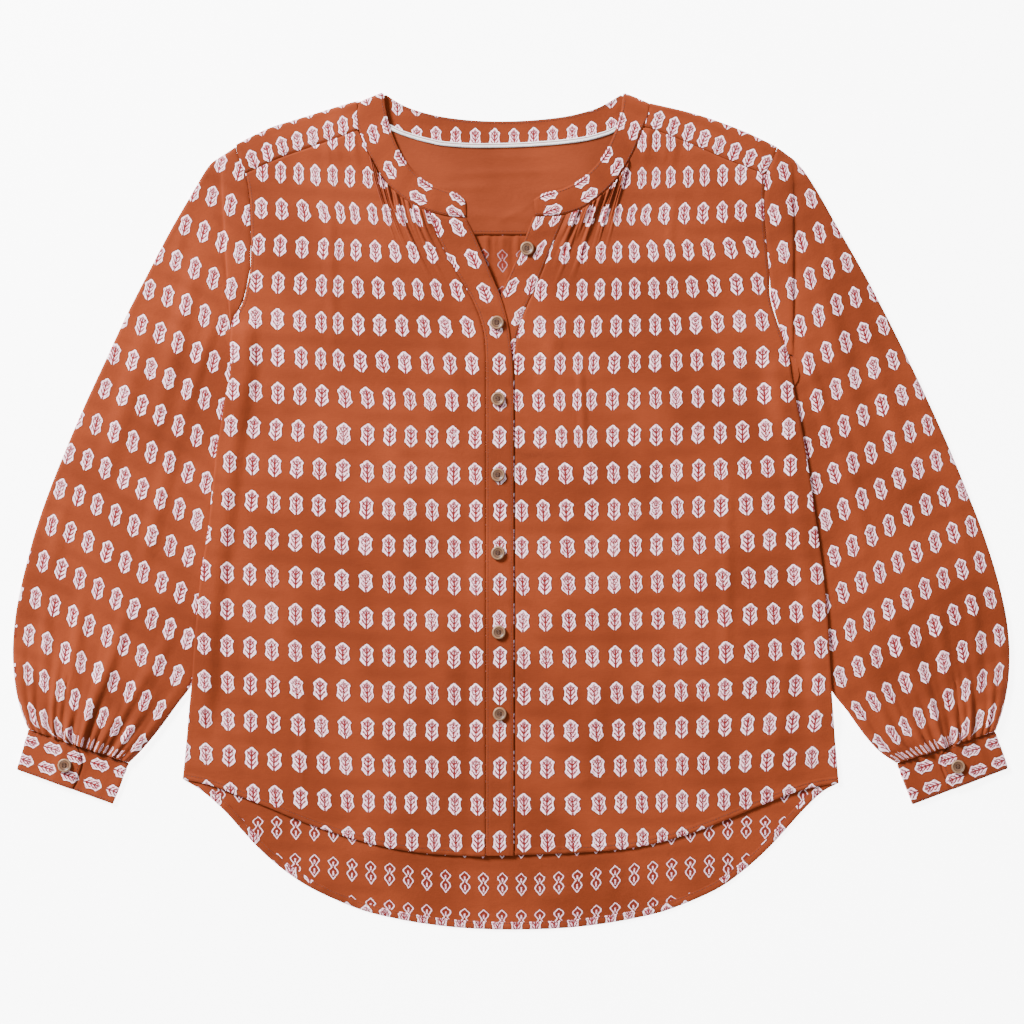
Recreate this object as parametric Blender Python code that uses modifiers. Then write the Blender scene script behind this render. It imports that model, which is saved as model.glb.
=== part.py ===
"""Blouse laid flat on its back, front up, with both sleeves beside the body.

Metres, +Z up, +X to the wearer's left, +Y to the neck. All tables are in millimetres.
"right" and "left" are the wearer's own.
"""

import math

import bpy
import numpy as np

MM = 0.001

CLOTH = 1.2  # wall of every piece
GAP = 0.3  # between two layers, and across every seam
STEP = CLOTH + GAP  # one layer lying on another
SLEEVE_AIR = 0.8  # between the two layers of a sleeve
SLEEVE_TOP = CLOTH + SLEEVE_AIR  # underside of a sleeve's upper layer
RISE = SLEEVE_TOP + CLOTH + GAP  # body side lying over a sleeve
YOKE_SEAM_Y = 249.6  # back panel meets yoke
TAPE_WIDTH = 5.2
TUCK_BLEND = (10.0, 27.0)  # from the side edge, where the body comes back down

BUTTON_RADIUS = 6.2
BUTTON_THICK = 2.6
BUTTON_HOLE = 0.8
BUTTON_HOLE_OFFSET = 1.35

# Outlines seen from above: (x, y).
ARMHOLE = {
    "right": [(-248.0, 327.5), (-243.5, 313.4), (-239.0, 302.6), (-236.2, 288.2), (-234.8, 272.0),
              (-234.3, 244.1), (-234.8, 218.0), (-238.1, 200.9), (-241.1, 189.2), (-245.2, 181.1),
              (-250.7, 173.5)],
    "left": [(239.0, 327.0), (235.0, 317.0), (228.2, 302.6), (226.8, 281.0), (227.2, 262.1),
             (228.7, 243.2), (230.6, 224.3), (231.8, 211.7), (233.1, 190.1), (241.7, 162.2),
             (248.8, 141.1)],
}
SIDE = {
    "right": [(-250.7, 173.5), (-252.5, 154.1), (-252.5, 124.4), (-257.0, 103.7), (-260.6, 80.3),
              (-265.1, 53.3), (-268.2, 24.5), (-272.6, -16.9), (-276.8, -43.0), (-280.8, -71.8),
              (-283.1, -98.8), (-285.4, -124.9), (-287.2, -154.6), (-289.6, -178.0),
              (-292.9, -213.1), (-295.7, -241.0)],
    "left": [(248.8, 141.1), (251.0, 124.4), (254.7, 103.7), (259.4, 80.3), (264.2, 53.3),
             (268.7, 24.5), (274.6, -16.9), (278.2, -43.0), (281.6, -71.8), (284.0, -98.8),
             (285.5, -124.9), (287.1, -154.6), (288.7, -178.0), (291.6, -213.1), (294.3, -244.6)],
}
SHOULDER = {
    "right": [(-248.0, 329.6), (-233.6, 337.2), (-216.5, 345.2), (-198.1, 351.0),
              (-174.2, 358.4), (-155.0, 364.3), (-140.4, 368.4)],
    "left": [(239.0, 327.6), (212.0, 340.4), (186.8, 350.3), (170.0, 355.8), (155.2, 359.9),
             (140.0, 363.4), (127.2, 366.2)],
}
SHOULDER_SEAM = {
    "right": [(-239.4, 303.6), (-222.2, 311.6), (-204.9, 319.0), (-191.2, 323.8),
              (-174.2, 329.6), (-154.3, 336.4), (-137.8, 342.6)],
    "left": [(228.4, 303.0), (203.4, 312.5), (186.8, 319.3), (164.2, 329.2), (145.3, 336.8),
             (130.0, 342.4), (118.9, 345.4)],
}
NECK_SEAM = {
    "right": [(-139.2, 367.0), (-140.3, 356.5), (-137.2, 341.3), (-128.2, 320.6),
              (-119.5, 304.5), (-109.7, 291.8), (-95.9, 280.1), (-78.8, 271.1), (-59.9, 265.7),
              (-40.6, 263.7)],
    "left": [(125.4, 366.0), (124.0, 356.0), (118.4, 344.0), (109.4, 321.1), (97.6, 301.8),
             (88.7, 291.4), (77.0, 281.0), (63.5, 271.9), (44.6, 266.2), (20.9, 265.2)],
}
NECK_EDGE = {
    "right": [(-115.7, 376.6), (-113.6, 363.0), (-109.7, 346.8), (-104.8, 332.8),
              (-97.7, 318.3), (-90.2, 308.1), (-81.5, 299.9), (-72.0, 293.6), (-60.8, 289.0),
              (-49.5, 285.8), (-41.6, 279.0)],
    "left": [(101.2, 376.2), (98.9, 362.0), (95.0, 348.0), (88.9, 332.0), (80.6, 317.2),
             (69.8, 304.8), (57.6, 295.6), (44.6, 289.6), (30.0, 286.0), (19.8, 280.1)],
}
BACK_BAND_EDGE = [(-115.7, 376.6), (-95.9, 364.5), (-67.5, 355.9), (-31.1, 351.4), (7.7, 351.2),
                  (44.6, 354.6), (68.0, 359.8), (81.5, 364.8), (101.2, 376.2)]
BACK_NECK = [(-138.8, 364.6), (-124.0, 354.6), (-109.7, 345.8), (-99.5, 340.8), (-85.0, 336.0),
             (-72.5, 332.8), (-59.9, 330.4), (-31.1, 328.7), (7.7, 329.4), (35.6, 331.2),
             (53.6, 333.0), (68.0, 335.2), (81.5, 338.8), (91.4, 342.6), (108.0, 352.4),
             (124.6, 363.4)]
FRONT_HEM = [(-295.7, -241.0), (-272.2, -245.9), (-248.8, -254.5), (-219.2, -266.2),
             (-195.8, -276.1), (-166.5, -286.9), (-137.2, -296.0), (-107.5, -303.1),
             (-78.3, -307.6), (-49.1, -309.6), (-19.4, -310.3), (3.1, -309.4), (41.0, -308.0),
             (79.7, -305.8), (108.5, -302.7), (138.2, -296.4), (167.8, -287.3),
             (196.7, -276.1), (220.1, -266.2), (249.8, -254.5), (273.2, -247.7),
             (294.3, -244.6)]
BACK_HEM = [(-295.7, -241.0), (-278.6, -251.6), (-258.8, -268.9), (-242.6, -286.9),
            (-226.3, -304.3), (-204.8, -322.9), (-176.8, -340.9), (-135.5, -358.6),
            (-100.0, -367.4), (-70.7, -372.2), (-40.1, -375.3), (0.5, -376.6), (43.6, -375.3),
            (77.0, -372.0), (110.0, -366.4), (141.8, -358.4), (183.2, -340.9),
            (209.2, -322.9), (230.0, -304.3), (246.2, -286.9), (262.4, -268.9),
            (279.6, -252.6), (294.3, -244.6)]
# Free edge and sewn edge of each placket band, neck to hem.
PLACKET_EDGE = {
    "right": [(-41.0, 262.9), (-33.8, 248.6), (-24.8, 227.9), (-15.2, 205.4), (-9.5, 191.5),
              (-5.0, 176.6), (-2.2, 162.2), (-0.6, 149.0), (0.9, 131.6), (1.8, 109.1)],
    "left": [(19.4, 264.3), (11.2, 243.2), (3.1, 223.5), (-3.5, 208.6), (-9.0, 196.0),
             (-15.4, 179.3), (-20.2, 161.3), (-22.2, 143.3), (-22.9, 125.3), (-22.9, 109.1)],
}
PLACKET_SEAM = {
    "right": [(-72.5, 268.2), (-66.5, 247.7), (-53.2, 221.6), (-42.8, 203.6), (-33.8, 187.3),
              (-27.5, 171.1), (-24.3, 157.0), (-23.3, 143.0), (-23.0, 131.0), (-23.0, 109.1)],
    "left": [(48.5, 266.4), (42.0, 251.0), (34.8, 234.3), (26.6, 213.5), (20.0, 198.5),
             (14.0, 185.6), (8.1, 170.7), (4.6, 157.0), (2.8, 139.0), (2.5, 109.1)],
}
# Cuff corners: outer top, inner top, inner bottom, outer bottom.
CUFF = {
    "right": [(-434.6, -196.0), (-343.8, -226.6), (-357.9, -263.5), (-445.1, -232.2)],
    "left": [(435.2, -197.8), (346.1, -226.9), (360.4, -263.9), (446.9, -231.1)],
}
# Sleeve rings, armhole to cuff: (outer x, outer y, inner x, inner y, bow, loft).
SLEEVE_RINGS = {
    "right": [
        (-248.0, 327.5, -250.9, 173.5, 0.0, 0.0),
        (-258.8, 320.6, -252.0, 170.3, 1.6, 0.0),
        (-263.2, 317.9, -252.8, 167.6, 1.0, 0.0),
        (-273.2, 309.2, -253.0, 162.2, 0.0, 0.3),
        (-289.4, 282.2, -253.2, 154.1, 0.0, 0.6),
        (-306.4, 253.1, -246.2, 137.9, 0.0, 0.8),
        (-327.2, 213.5, -246.2, 115.4, 0.0, 0.9),
        (-346.1, 176.6, -250.6, 89.3, 0.0, 1.0),
        (-364.9, 136.1, -255.0, 60.5, 0.0, 1.0),
        (-383.3, 96.5, -259.7, 28.1, 0.0, 1.0),
        (-400.3, 56.9, -264.0, -6.1, 0.0, 1.1),
        (-415.4, 19.1, -268.7, -40.3, 0.0, 1.2),
        (-427.9, -16.9, -273.8, -74.5, 0.0, 1.3),
        (-437.7, -52.9, -277.7, -106.9, 0.0, 1.5),
        (-444.9, -86.2, -281.6, -135.7, 0.0, 1.6),
        (-448.2, -115.9, -286.7, -154.6, 0.0, 1.7),
        (-448.0, -141.1, -301.1, -174.4, 0.0, 1.7),
        (-445.1, -163.6, -318.2, -197.8, 0.0, 1.5),
        (-440.3, -181.6, -332.6, -214.9, 0.0, 1.1),
        (-434.7, -195.4, -343.7, -226.0, 0.0, 0.5),
    ],
    "left": [
        (239.0, 327.0, 249.1, 141.1, 0.0, 0.0),
        (249.8, 319.4, 251.7, 140.6, 0.0, 0.0),
        (255.2, 315.0, 253.8, 138.2, 0.0, 0.0),
        (265.1, 303.2, 255.0, 131.5, 0.0, 0.3),
        (279.4, 280.2, 254.5, 118.7, 0.0, 0.6),
        (294.8, 252.6, 251.9, 104.0, 0.0, 0.8),
        (317.2, 213.5, 249.8, 89.3, 0.0, 0.9),
        (337.1, 175.7, 254.2, 64.1, 0.0, 1.0),
        (356.9, 136.1, 258.2, 37.1, 0.0, 1.0),
        (375.8, 96.5, 262.4, 10.1, 0.0, 1.0),
        (393.6, 56.9, 266.3, -18.7, 0.0, 1.1),
        (409.1, 19.1, 269.8, -49.3, 0.0, 1.2),
        (423.2, -16.9, 273.2, -79.9, 0.0, 1.3),
        (435.0, -52.9, 276.8, -110.5, 0.0, 1.5),
        (443.6, -87.1, 281.2, -137.5, 0.0, 1.6),
        (447.5, -115.9, 286.8, -159.5, 0.0, 1.7),
        (447.8, -141.1, 301.9, -179.8, 0.0, 1.7),
        (445.5, -161.8, 318.2, -202.3, 0.0, 1.5),
        (441.0, -181.6, 331.7, -216.7, 0.0, 1.1),
        (435.4, -197.2, 346.0, -226.3, 0.0, 0.5),
    ],
}
# Heights of the rows of a front panel: (on armhole and side, on the placket seam).
FRONT_ROWS = {
    "right": [(302.6, 268.2), (296.0, 258.0), (288.2, 247.7), (272.0, 221.6), (244.1, 203.6),
              (218.0, 187.3), (200.9, 171.1), (189.2, 157.0), (181.1, 143.0), (173.5, 131.0),
              (154.1, 109.1), (124.4, 80.0), (80.3, 40.0), (24.5, -5.0), (-16.9, -50.0),
              (-60.0, -95.0), (-110.0, -145.0), (-163.0, -200.0), (-192.0, -240.0),
              (-213.1, -275.0), (-241.0, -310.0)],
    "left": [(303.0, 266.4), (293.0, 259.0), (281.0, 251.0), (262.1, 234.3), (243.2, 213.5),
             (224.3, 198.5), (211.7, 185.6), (190.1, 170.7), (162.2, 157.0), (141.1, 139.0),
             (122.4, 109.1), (103.7, 80.0), (59.4, 40.0), (24.5, -5.0), (-16.9, -50.0),
             (-60.0, -95.0), (-110.0, -145.0), (-168.0, -200.0), (-197.0, -240.0),
             (-220.0, -275.0), (-244.6, -309.0)],
}
# Heights of the rows of the back: (on its right side, on its left side).
BACK_ROWS = [(249.6, 249.6), (244.1, 243.2), (218.0, 224.3), (200.9, 211.7), (189.2, 190.1),
             (181.1, 176.0), (173.5, 162.2), (154.1, 141.1), (124.4, 122.4), (103.7, 103.7),
             (80.3, 59.4), (24.5, 24.5), (-16.9, -16.9), (-60.0, -60.0), (-110.0, -110.0),
             (-163.0, -168.0), (-192.0, -197.0), (-213.1, -220.0), (-241.0, -244.6)]
# Heights of the rows of the yoke's back: (on its right armhole, on its left armhole).
YOKE_ROWS = [(249.9, 249.9), (272.0, 262.1), (288.2, 281.0), (302.6, 302.6), (400.0, 400.0)]
# Gathers: (first ridge, pitch, number, longest, height), along the gathered edge.
NECK_GATHERS = (0.0, 5.8, 11, 66.0, 1.15)
SHOULDER_GATHERS = (4.0, 9.0, 3, 34.0, 0.5)
BACK_GATHERS = (-66.0, 11.0, 13, 48.0, 0.9)
CUFF_GATHERS = (0.0, 1.0, 14, 105.0, 2.0)
BUTTONS = [
    ("button_1", 14.0, 236.0), ("button_2", -13.1, 169.4), ("button_3", -12.2, 101.0),
    ("button_4", -12.2, 32.6), ("button_5", -12.2, -37.6), ("button_6", -11.4, -108.7),
    ("button_7", -10.6, -182.0), ("button_cuff_right", -401.3, -228.2),
    ("button_cuff_left", 400.9, -229.3),
]


def clear_scene():
    for obj in list(bpy.data.objects):
        bpy.data.objects.remove(obj, do_unlink=True)
    for group in list(bpy.data.collections):
        bpy.data.collections.remove(group)


def ease(low, high, value):
    """0 below low, 1 above high, and a soft ramp between."""
    t = np.clip((np.asarray(value, float) - low) / (high - low), 0.0, 1.0)
    return t * t * (3.0 - 2.0 * t)


def spline(points, fractions):
    """Points at these shares of the length of a smooth curve through the given ones."""
    knots = np.asarray(points, float)
    padded = np.vstack([2 * knots[0] - knots[1], knots, 2 * knots[-1] - knots[-2]])
    dense = []
    for i in range(len(knots) - 1):
        a, b, c, d = padded[i:i + 4]
        for s in np.arange(10) / 10:
            dense.append(0.5 * (2 * b + (c - a) * s + (2 * a - 5 * b + 4 * c - d) * s ** 2
                                + (3 * b - a - 3 * c + d) * s ** 3))
    dense = np.array(dense + [knots[-1]])
    length = np.r_[0.0, np.cumsum(np.linalg.norm(np.diff(dense, axis=0), axis=1))]
    wanted = np.asarray(fractions, float) * length[-1]
    return np.stack([np.interp(wanted, length, dense[:, k]) for k in (0, 1)], axis=-1)


def x_at(points, y):
    rows = sorted((row[1], row[0]) for row in points)
    return np.interp(y, [row[0] for row in rows], [row[1] for row in rows])


def flank(side, y):
    """The x of armhole and side edge at this height."""
    return x_at(ARMHOLE[side] + SIDE[side][1:], y)


def ridges(start, pitch, number, longest, height):
    """Uneven gathers: (position, half width, length, height) for each."""
    rows = []
    for i in range(number):
        place = start + pitch * (i + 0.22 * math.sin(2.3 * i + 0.7))
        long = longest * (0.72 + 0.28 * math.sin(1.9 * i + 1.1))
        rows.append((place, 0.5 * pitch, long, height * (0.8 + 0.25 * math.sin(2.9 * i))))
    return rows


def gather_lift(rows, along, away):
    """Height of the gathers at a distance along the gathered edge and away from it."""
    lift = np.zeros(np.broadcast(along, away).shape)
    for place, half, long, height in rows:
        near = np.clip(1.0 - np.abs(along - place) / half, 0.0, 1.0)
        lift = lift + height * near * near * (3 - 2 * near) * (1 - ease(0.1 * long, long, away))
    return lift


def rise(x, y):
    """How far the body's sides are up on the sleeves: 0 on the floor, 1 over the sleeve."""
    share = 0.0
    for side, sign, under, out in (("right", 1.0, 173.5, -163.0), ("left", -1.0, 141.1, -168.0)):
        inset = (x - flank(side, y)) * sign
        held = (1 - ease(under - 18.0, under - 0.5, y)) * ease(out - 48.0, out, y)
        share = share + held * (1 - ease(*TUCK_BLEND, inset))
    return share


def front_level(x, y):
    """Underside of the front layer: on the back, on the yoke lining, or over the neck tape."""
    past = np.maximum(np.maximum(-139.0 - x, x - 125.0), 0.0)
    tips = ease(300.0, 334.0, y) * (1 - ease(0.0, 35.0, past))
    share = rise(x, y)
    side = RISE * share + 2.0 * share * (1 - share)
    return STEP + side + STEP * ease(186.0, 232.0, y) + STEP * tips


def overlap(x, y):
    """The right front climbs onto the left one's placket band, below the V."""
    seam = x_at(PLACKET_SEAM["right"] + [(-23.0, -320.0)], y)
    return STEP * (1 - ease(214.0, 247.0, y)) * ease(-20.0, 0.0, x - seam)


def soft_body(x, y):
    """Low folds of cloth that isn't pressed: a little air under the front."""
    wave = np.sin(x / 41.0 + 0.5 * np.sin(y / 90.0)) * np.sin(y / 130.0 + 0.8)
    inner = ease(0.0, 40.0, x - flank("right", y)) * ease(0.0, 40.0, flank("left", y) - x)
    low = ease(-300.0, -200.0, y) * (1 - ease(120.0, 200.0, y))
    middle = ease(14.0, 60.0, np.abs(x + 10.0))
    return 0.35 * (1 + wave) * inner * low * middle


def zip_rows(first, second, at_first, at_second):
    """Faces between two rows of vertex numbers, each with its places along the row."""
    faces, i, j = [], 0, 0
    if len(first) == len(second):
        for k in range(len(first) - 1):
            faces.append((first[k], second[k], second[k + 1]))
            faces.append((first[k], second[k + 1], first[k + 1]))
        return faces
    while i < len(first) - 1 or j < len(second) - 1:
        step_first = at_first[i + 1] if i < len(first) - 1 else math.inf
        step_second = at_second[j + 1] if j < len(second) - 1 else math.inf
        if step_first <= step_second:
            faces.append((first[i], second[j], first[i + 1]))
            i += 1
        else:
            faces.append((first[i], second[j], second[j + 1]))
            j += 1
    return faces


def signed_volume(points, faces):
    total = 0.0
    for face in faces:
        a = points[face[0]]
        for k in range(1, len(face) - 1):
            total += np.dot(a, np.cross(points[face[k]], points[face[k + 1]]))
    return total / 6


def add_mesh(name, points, faces, material):
    """One closed body facing out, in millimetres."""
    points = np.asarray(points, float)
    if signed_volume(points, faces) < 0:
        faces = [face[::-1] for face in faces]
    mesh = bpy.data.meshes.new(name)
    mesh.from_pydata((points * MM).tolist(), [], [tuple(map(int, face)) for face in faces])
    mesh.validate()
    mesh.materials.append(material)
    obj = bpy.data.objects.new(name, mesh)
    bpy.data.collections["blouse"].objects.link(obj)
    return obj


def shell(name, outer, inner, material, places=None, closed=False):
    """A wall between two sets of rows of points. Rows may differ in length."""
    starts = np.cumsum([0] + [len(row) for row in outer])
    count = starts[-1]
    faces = []
    for r in range(len(outer) - 1):
        rows = []
        for k in (r, r + 1):
            numbers = list(range(starts[k], starts[k + 1]))
            rows.append(numbers + numbers[:1] if closed else numbers)
        at = (places[r], places[r + 1]) if places else (range(len(rows[0])), range(len(rows[1])))
        faces += zip_rows(rows[0], rows[1], at[0], at[1])
    edges = {}
    for face in faces:
        for a, b in zip(face, face[1:] + face[:1]):
            edges[(a, b)] = edges.get((a, b), 0) + 1
    rim = [(b, a) for a, b in edges if (b, a) not in edges]
    points = np.vstack([np.vstack(outer), np.vstack(inner)])
    back = [tuple(v + count for v in face[::-1]) for face in faces]
    sides = [(a, b, b + count, a + count) for a, b in rim]
    return add_mesh(name, points, faces + back + sides, material)


def raised(flat, level):
    """Points of a plan with a height for each."""
    flat = np.asarray(flat, float)
    return np.column_stack([flat, np.broadcast_to(level, len(flat))])


def sheet(name, rows, levels, material, places=None):
    """A height-field piece of cloth: its underside at the levels, its top a wall above."""
    inner = [raised(row, level) for row, level in zip(rows, levels)]
    outer = [points + (0.0, 0.0, CLOTH) for points in inner]
    return shell(name, outer, inner, material, places)


def patch(top, bottom, first, last, u, v):
    """One row of a four-sided patch, between its points on the two side edges."""
    across = np.asarray(u, float)[:, None]
    upper, lower = top(u), bottom(u)
    row = (1 - v) * upper + v * lower
    return row + (1 - across) * (first - row[0]) + across * (last - row[-1])


def along_spline(points):
    return lambda u: spline(points, u)


def span(points, first_x, last_x):
    """The part of a hem between two x values, with ends on it."""
    rows = [row for row in points if first_x < row[0] < last_x]
    ys = np.interp([first_x, last_x], [row[0] for row in points], [row[1] for row in points])
    return [(first_x, ys[0])] + rows + [(last_x, ys[1])]


def front_top(side):
    """Shoulder seam, then neck seam down to the placket, with the length of each."""
    shoulder = [(x, y - GAP) for x, y in SHOULDER_SEAM[side]]
    end = PLACKET_SEAM[side][0]
    sign = -1.0 if side == "right" else 1.0
    neck = [shoulder[-1]] + NECK_SEAM[side][3:8]
    neck = neck + [(end[0] + sign * (GAP + 0.1), end[1] + (1.0 if side == "right" else 0.4))]
    lengths = [np.linalg.norm(np.diff(np.array(line), axis=0), axis=1).sum()
               for line in (shoulder, neck)]
    return shoulder, neck, lengths[0], lengths[1]


def front_columns(side):
    """Places along the top edge for the columns: gathered rows first, then plain ones."""
    _, _, long_shoulder, long_neck = front_top(side)
    total = long_shoulder + long_neck
    pitch, number = NECK_GATHERS[1:3]
    neck_start = total - 3.0 - pitch * (number - 0.5)
    neck_rows = ridges(neck_start, *NECK_GATHERS[1:])
    first = long_shoulder - 4.0 - SHOULDER_GATHERS[1] * (SHOULDER_GATHERS[2] - 0.5)
    shoulder_rows = ridges(first, *SHOULDER_GATHERS[1:])
    fine = [0.0, 10.0, 18.0, 27.0, 0.36 * first, 0.7 * first, long_shoulder]
    fine += list(np.linspace(long_shoulder, neck_start - 3.0, 5)[1:])
    for rows in (shoulder_rows, neck_rows):
        for place, half, _, _ in rows:
            fine += [place - half, place]
    fine = sorted(fine)
    fine = [fine[0]] + [b for a, b in zip(fine, fine[1:]) if b - a > 0.9] + [total]
    coarse = [0.0, 10.0, 18.0, 27.0] + list(np.linspace(27.0, total - 26.0, 8)[1:])
    coarse += [total - 17.0, total - 9.0, total]
    return np.array(fine) / total, np.array(coarse) / total, shoulder_rows + neck_rows, total


def front_sides(side):
    """Top edge and hem of a front panel, each as a function of the share along it."""
    shoulder, neck, long_shoulder, long_neck = front_top(side)
    share = long_shoulder / (long_shoulder + long_neck)
    foot_x = PLACKET_SEAM[side][-1][0] + (-GAP if side == "right" else GAP)
    if side == "right":
        hem = span(FRONT_HEM, FRONT_HEM[0][0], foot_x)
    else:
        hem = span(FRONT_HEM, foot_x, FRONT_HEM[-1][0])[::-1]

    def top(u):
        u = np.atleast_1d(np.asarray(u, float))
        a = spline(shoulder, np.clip(u / share, 0, 1))
        b = spline(neck, np.clip((u - share) / (1 - share), 0, 1))
        return np.where((u <= share)[:, None], a, b)

    return top, along_spline(hem), neck[-1], hem[-1]


def front_panel(side, material):
    top, bottom, corner, foot = front_sides(side)
    fine, coarse, gathers, total = front_columns(side)
    sign = -1.0 if side == "right" else 1.0
    seam = PLACKET_SEAM[side] + [(PLACKET_SEAM[side][-1][0], -320.0)]
    rows, levels, places = [], [], []
    table = FRONT_ROWS[side]
    for k, (y_side, y_centre) in enumerate(table):
        outer = np.array([float(flank(side, y_side)), y_side])
        centre = np.array([float(x_at(seam, y_centre)) + sign * GAP, y_centre])
        if k == 0:
            outer, centre = np.array(SHOULDER_SEAM[side][0]) - (0.0, GAP), np.array(corner)
        if k == len(table) - 1:
            centre = np.array(foot)
        v = 0.5 * ((table[0][0] - y_side) / (table[0][0] - table[-1][0])
                   + (table[0][1] - y_centre) / (table[0][1] - table[-1][1]))
        u = fine if k < 6 else coarse
        flat = patch(top, bottom, outer, centre, u, v)
        level = front_level(flat[:, 0], flat[:, 1]) + soft_body(flat[:, 0], flat[:, 1])
        level = level + gather_lift(gathers, u * total, v * 545.0)
        if side == "right":
            level = level + overlap(flat[:, 0], flat[:, 1])
        rows.append(flat)
        levels.append(level)
        places.append(u)
    sheet("front_" + side, rows, levels, material, places)


def back_panel(material):
    first_x = float(flank("right", YOKE_SEAM_Y))
    width = float(flank("left", YOKE_SEAM_Y)) - first_x

    def top(u):
        u = np.atleast_1d(np.asarray(u, float))
        return np.stack([first_x + width * u, np.full(u.shape, YOKE_SEAM_Y)], axis=-1)

    gathers = ridges(*BACK_GATHERS)
    ends = [0.0, 10.0, 18.0, 27.0]
    peaks = [place for place, _, _, _ in gathers]
    peaks += [place + half for place, half, _, _ in gathers] + [gathers[0][0] - gathers[0][1]]
    coarse = ends + list(np.linspace(27.0, width - 27.0, 15)[1:-1]) + [width - e for e in ends]
    fine = [x for x in coarse if not -74.0 < x + first_x < 80.0] + [p - first_x for p in peaks]
    rows, levels, places = [], [], []
    for k, (y_right, y_left) in enumerate(BACK_ROWS):
        v = 0.5 * ((BACK_ROWS[0][0] - y_right) / (BACK_ROWS[0][0] - BACK_ROWS[-1][0])
                   + (BACK_ROWS[0][1] - y_left) / (BACK_ROWS[0][1] - BACK_ROWS[-1][1]))
        u = np.array(sorted(fine if k < 4 else coarse)) / width
        one = np.array([float(flank("right", y_right)), y_right])
        other = np.array([float(flank("left", y_left)), y_left])
        flat = patch(top, along_spline(BACK_HEM), one, other, u, v)
        level = RISE * rise(flat[:, 0], flat[:, 1])
        level = level + gather_lift(gathers, first_x + u * width, v * 492.0)
        rows.append(flat)
        levels.append(level)
        places.append(u)
    sheet("back", rows, levels, material, places)


def fold_rows(edge, normal, radius, half_turn):
    """Rows round a fold from the floor up: outer and inner points for each angle."""
    outer, inner = [], []
    radius = np.asarray(radius, float)
    for angle in half_turn:
        for found, r in ((outer, radius), (inner, radius - CLOTH)):
            flat = edge + normal * ((r * math.cos(angle)) - radius)[:, None]
            found.append(np.column_stack([flat, radius + r * math.sin(angle)]))
    return outer, inner


def normals_of(points, up):
    """Unit normals of a plan curve, on the side where they point along up."""
    run = np.gradient(np.asarray(points, float), axis=0)
    normal = np.column_stack([-run[:, 1], run[:, 0]])
    normal /= np.linalg.norm(normal, axis=1)[:, None]
    return normal * np.sign(normal @ np.asarray(up, float))[:, None]


def yoke(material):
    """Back of the yoke, with each shoulder folded over to the shoulder seam in front."""
    share = np.linspace(0.0, 1.0, 9)
    folds = {}
    for side in ("right", "left"):
        edge = spline(SHOULDER[side], share)
        normal = normals_of(edge, (0.0, 1.0))
        seam = spline(SHOULDER_SEAM[side], share)
        radius = (front_level(edge[:, 0], edge[:, 1] - 6.0) + CLOTH) / 2
        folds[side] = (edge, normal, seam, radius)
    neck = spline(BACK_NECK, np.linspace(0.0, 1.0, 19))[1:-1] - (0.0, 0.5)
    right, left = folds["right"], folds["left"]
    right_top = right[0] - right[1] * right[3][:, None]
    left_top = left[0] - left[1] * left[3][:, None]
    top = np.vstack([right_top, neck, left_top[::-1]])
    count = len(share)
    foot_x = np.interp(np.arange(len(top)), [0, count - 1, len(top) - count, len(top) - 1],
                       [float(flank("right", YOKE_SEAM_Y)), -134.0, 120.0,
                        float(flank("left", YOKE_SEAM_Y))])
    foot = np.column_stack([foot_x, np.full(len(top), YOKE_SEAM_Y + GAP)])
    outer, inner = [], []
    for y_right, y_left in YOKE_ROWS:
        shares = [(y - foot[k, 1]) / (top[k, 1] - foot[k, 1])
                  for k, y in ((0, y_right), (-1, y_left))]
        v = np.interp(np.arange(len(top)), [0, len(top) - 1], np.clip(shares, 0.0, 1.0))
        flat = foot + (top - foot) * v[:, None]
        for column, side in ((0, "right"), (-1, "left")):
            flat[column, 0] = float(flank(side, flat[column, 1]))
        outer.append(raised(flat, 0.0))
        inner.append(raised(flat, CLOTH))
    angles = [math.radians(a) for a in (-45, 0, 45, 90)]
    wings = []
    for side in ("right", "left"):
        edge, normal, seam, radius = folds[side]
        a, b = fold_rows(edge, normal, radius, angles)
        crest = a[-1][:, :2]
        sign = -1.0 if side == "right" else 1.0
        for v in (0.5, 1.0):
            flat = crest + (seam + (0.0, GAP) - crest) * v
            flat[-1, 0] = float(x_at(NECK_SEAM[side][:4], flat[-1, 1])) + sign * 0.6
            flat[0, 0] = float(flank(side, flat[0, 1]))
            level = front_level(flat[:, 0], flat[:, 1])
            blend = (1 - v) * (2 * radius - CLOTH) + v * level
            b.append(raised(flat, blend))
            a.append(raised(flat, blend + CLOTH))
        wings.append((a, b))
    width = len(top)
    faces = []
    numbers = np.arange(len(outer) * width).reshape(len(outer), width)
    grids = [numbers]
    total = len(outer) * width
    stacks = [(np.vstack(outer), np.vstack(inner))]
    for k, (a, b) in enumerate(wings):
        rows = np.arange(total, total + len(a) * count).reshape(len(a), count)
        total += len(a) * count
        first = numbers[-1][:count] if k == 0 else numbers[-1][::-1][:count]
        grids.append(np.vstack([first, rows]))
        stacks.append((np.vstack(a), np.vstack(b)))
    for k, grid in enumerate(grids):
        for r in range(len(grid) - 1):
            for c in range(grid.shape[1] - 1):
                a, b, d, e = grid[r, c], grid[r, c + 1], grid[r + 1, c + 1], grid[r + 1, c]
                faces += [(a, d, b), (a, e, d)] if k == 2 else [(a, b, d), (a, d, e)]
    close_shell("yoke", np.vstack([s[0] for s in stacks]), np.vstack([s[1] for s in stacks]),
                faces, material)


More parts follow.
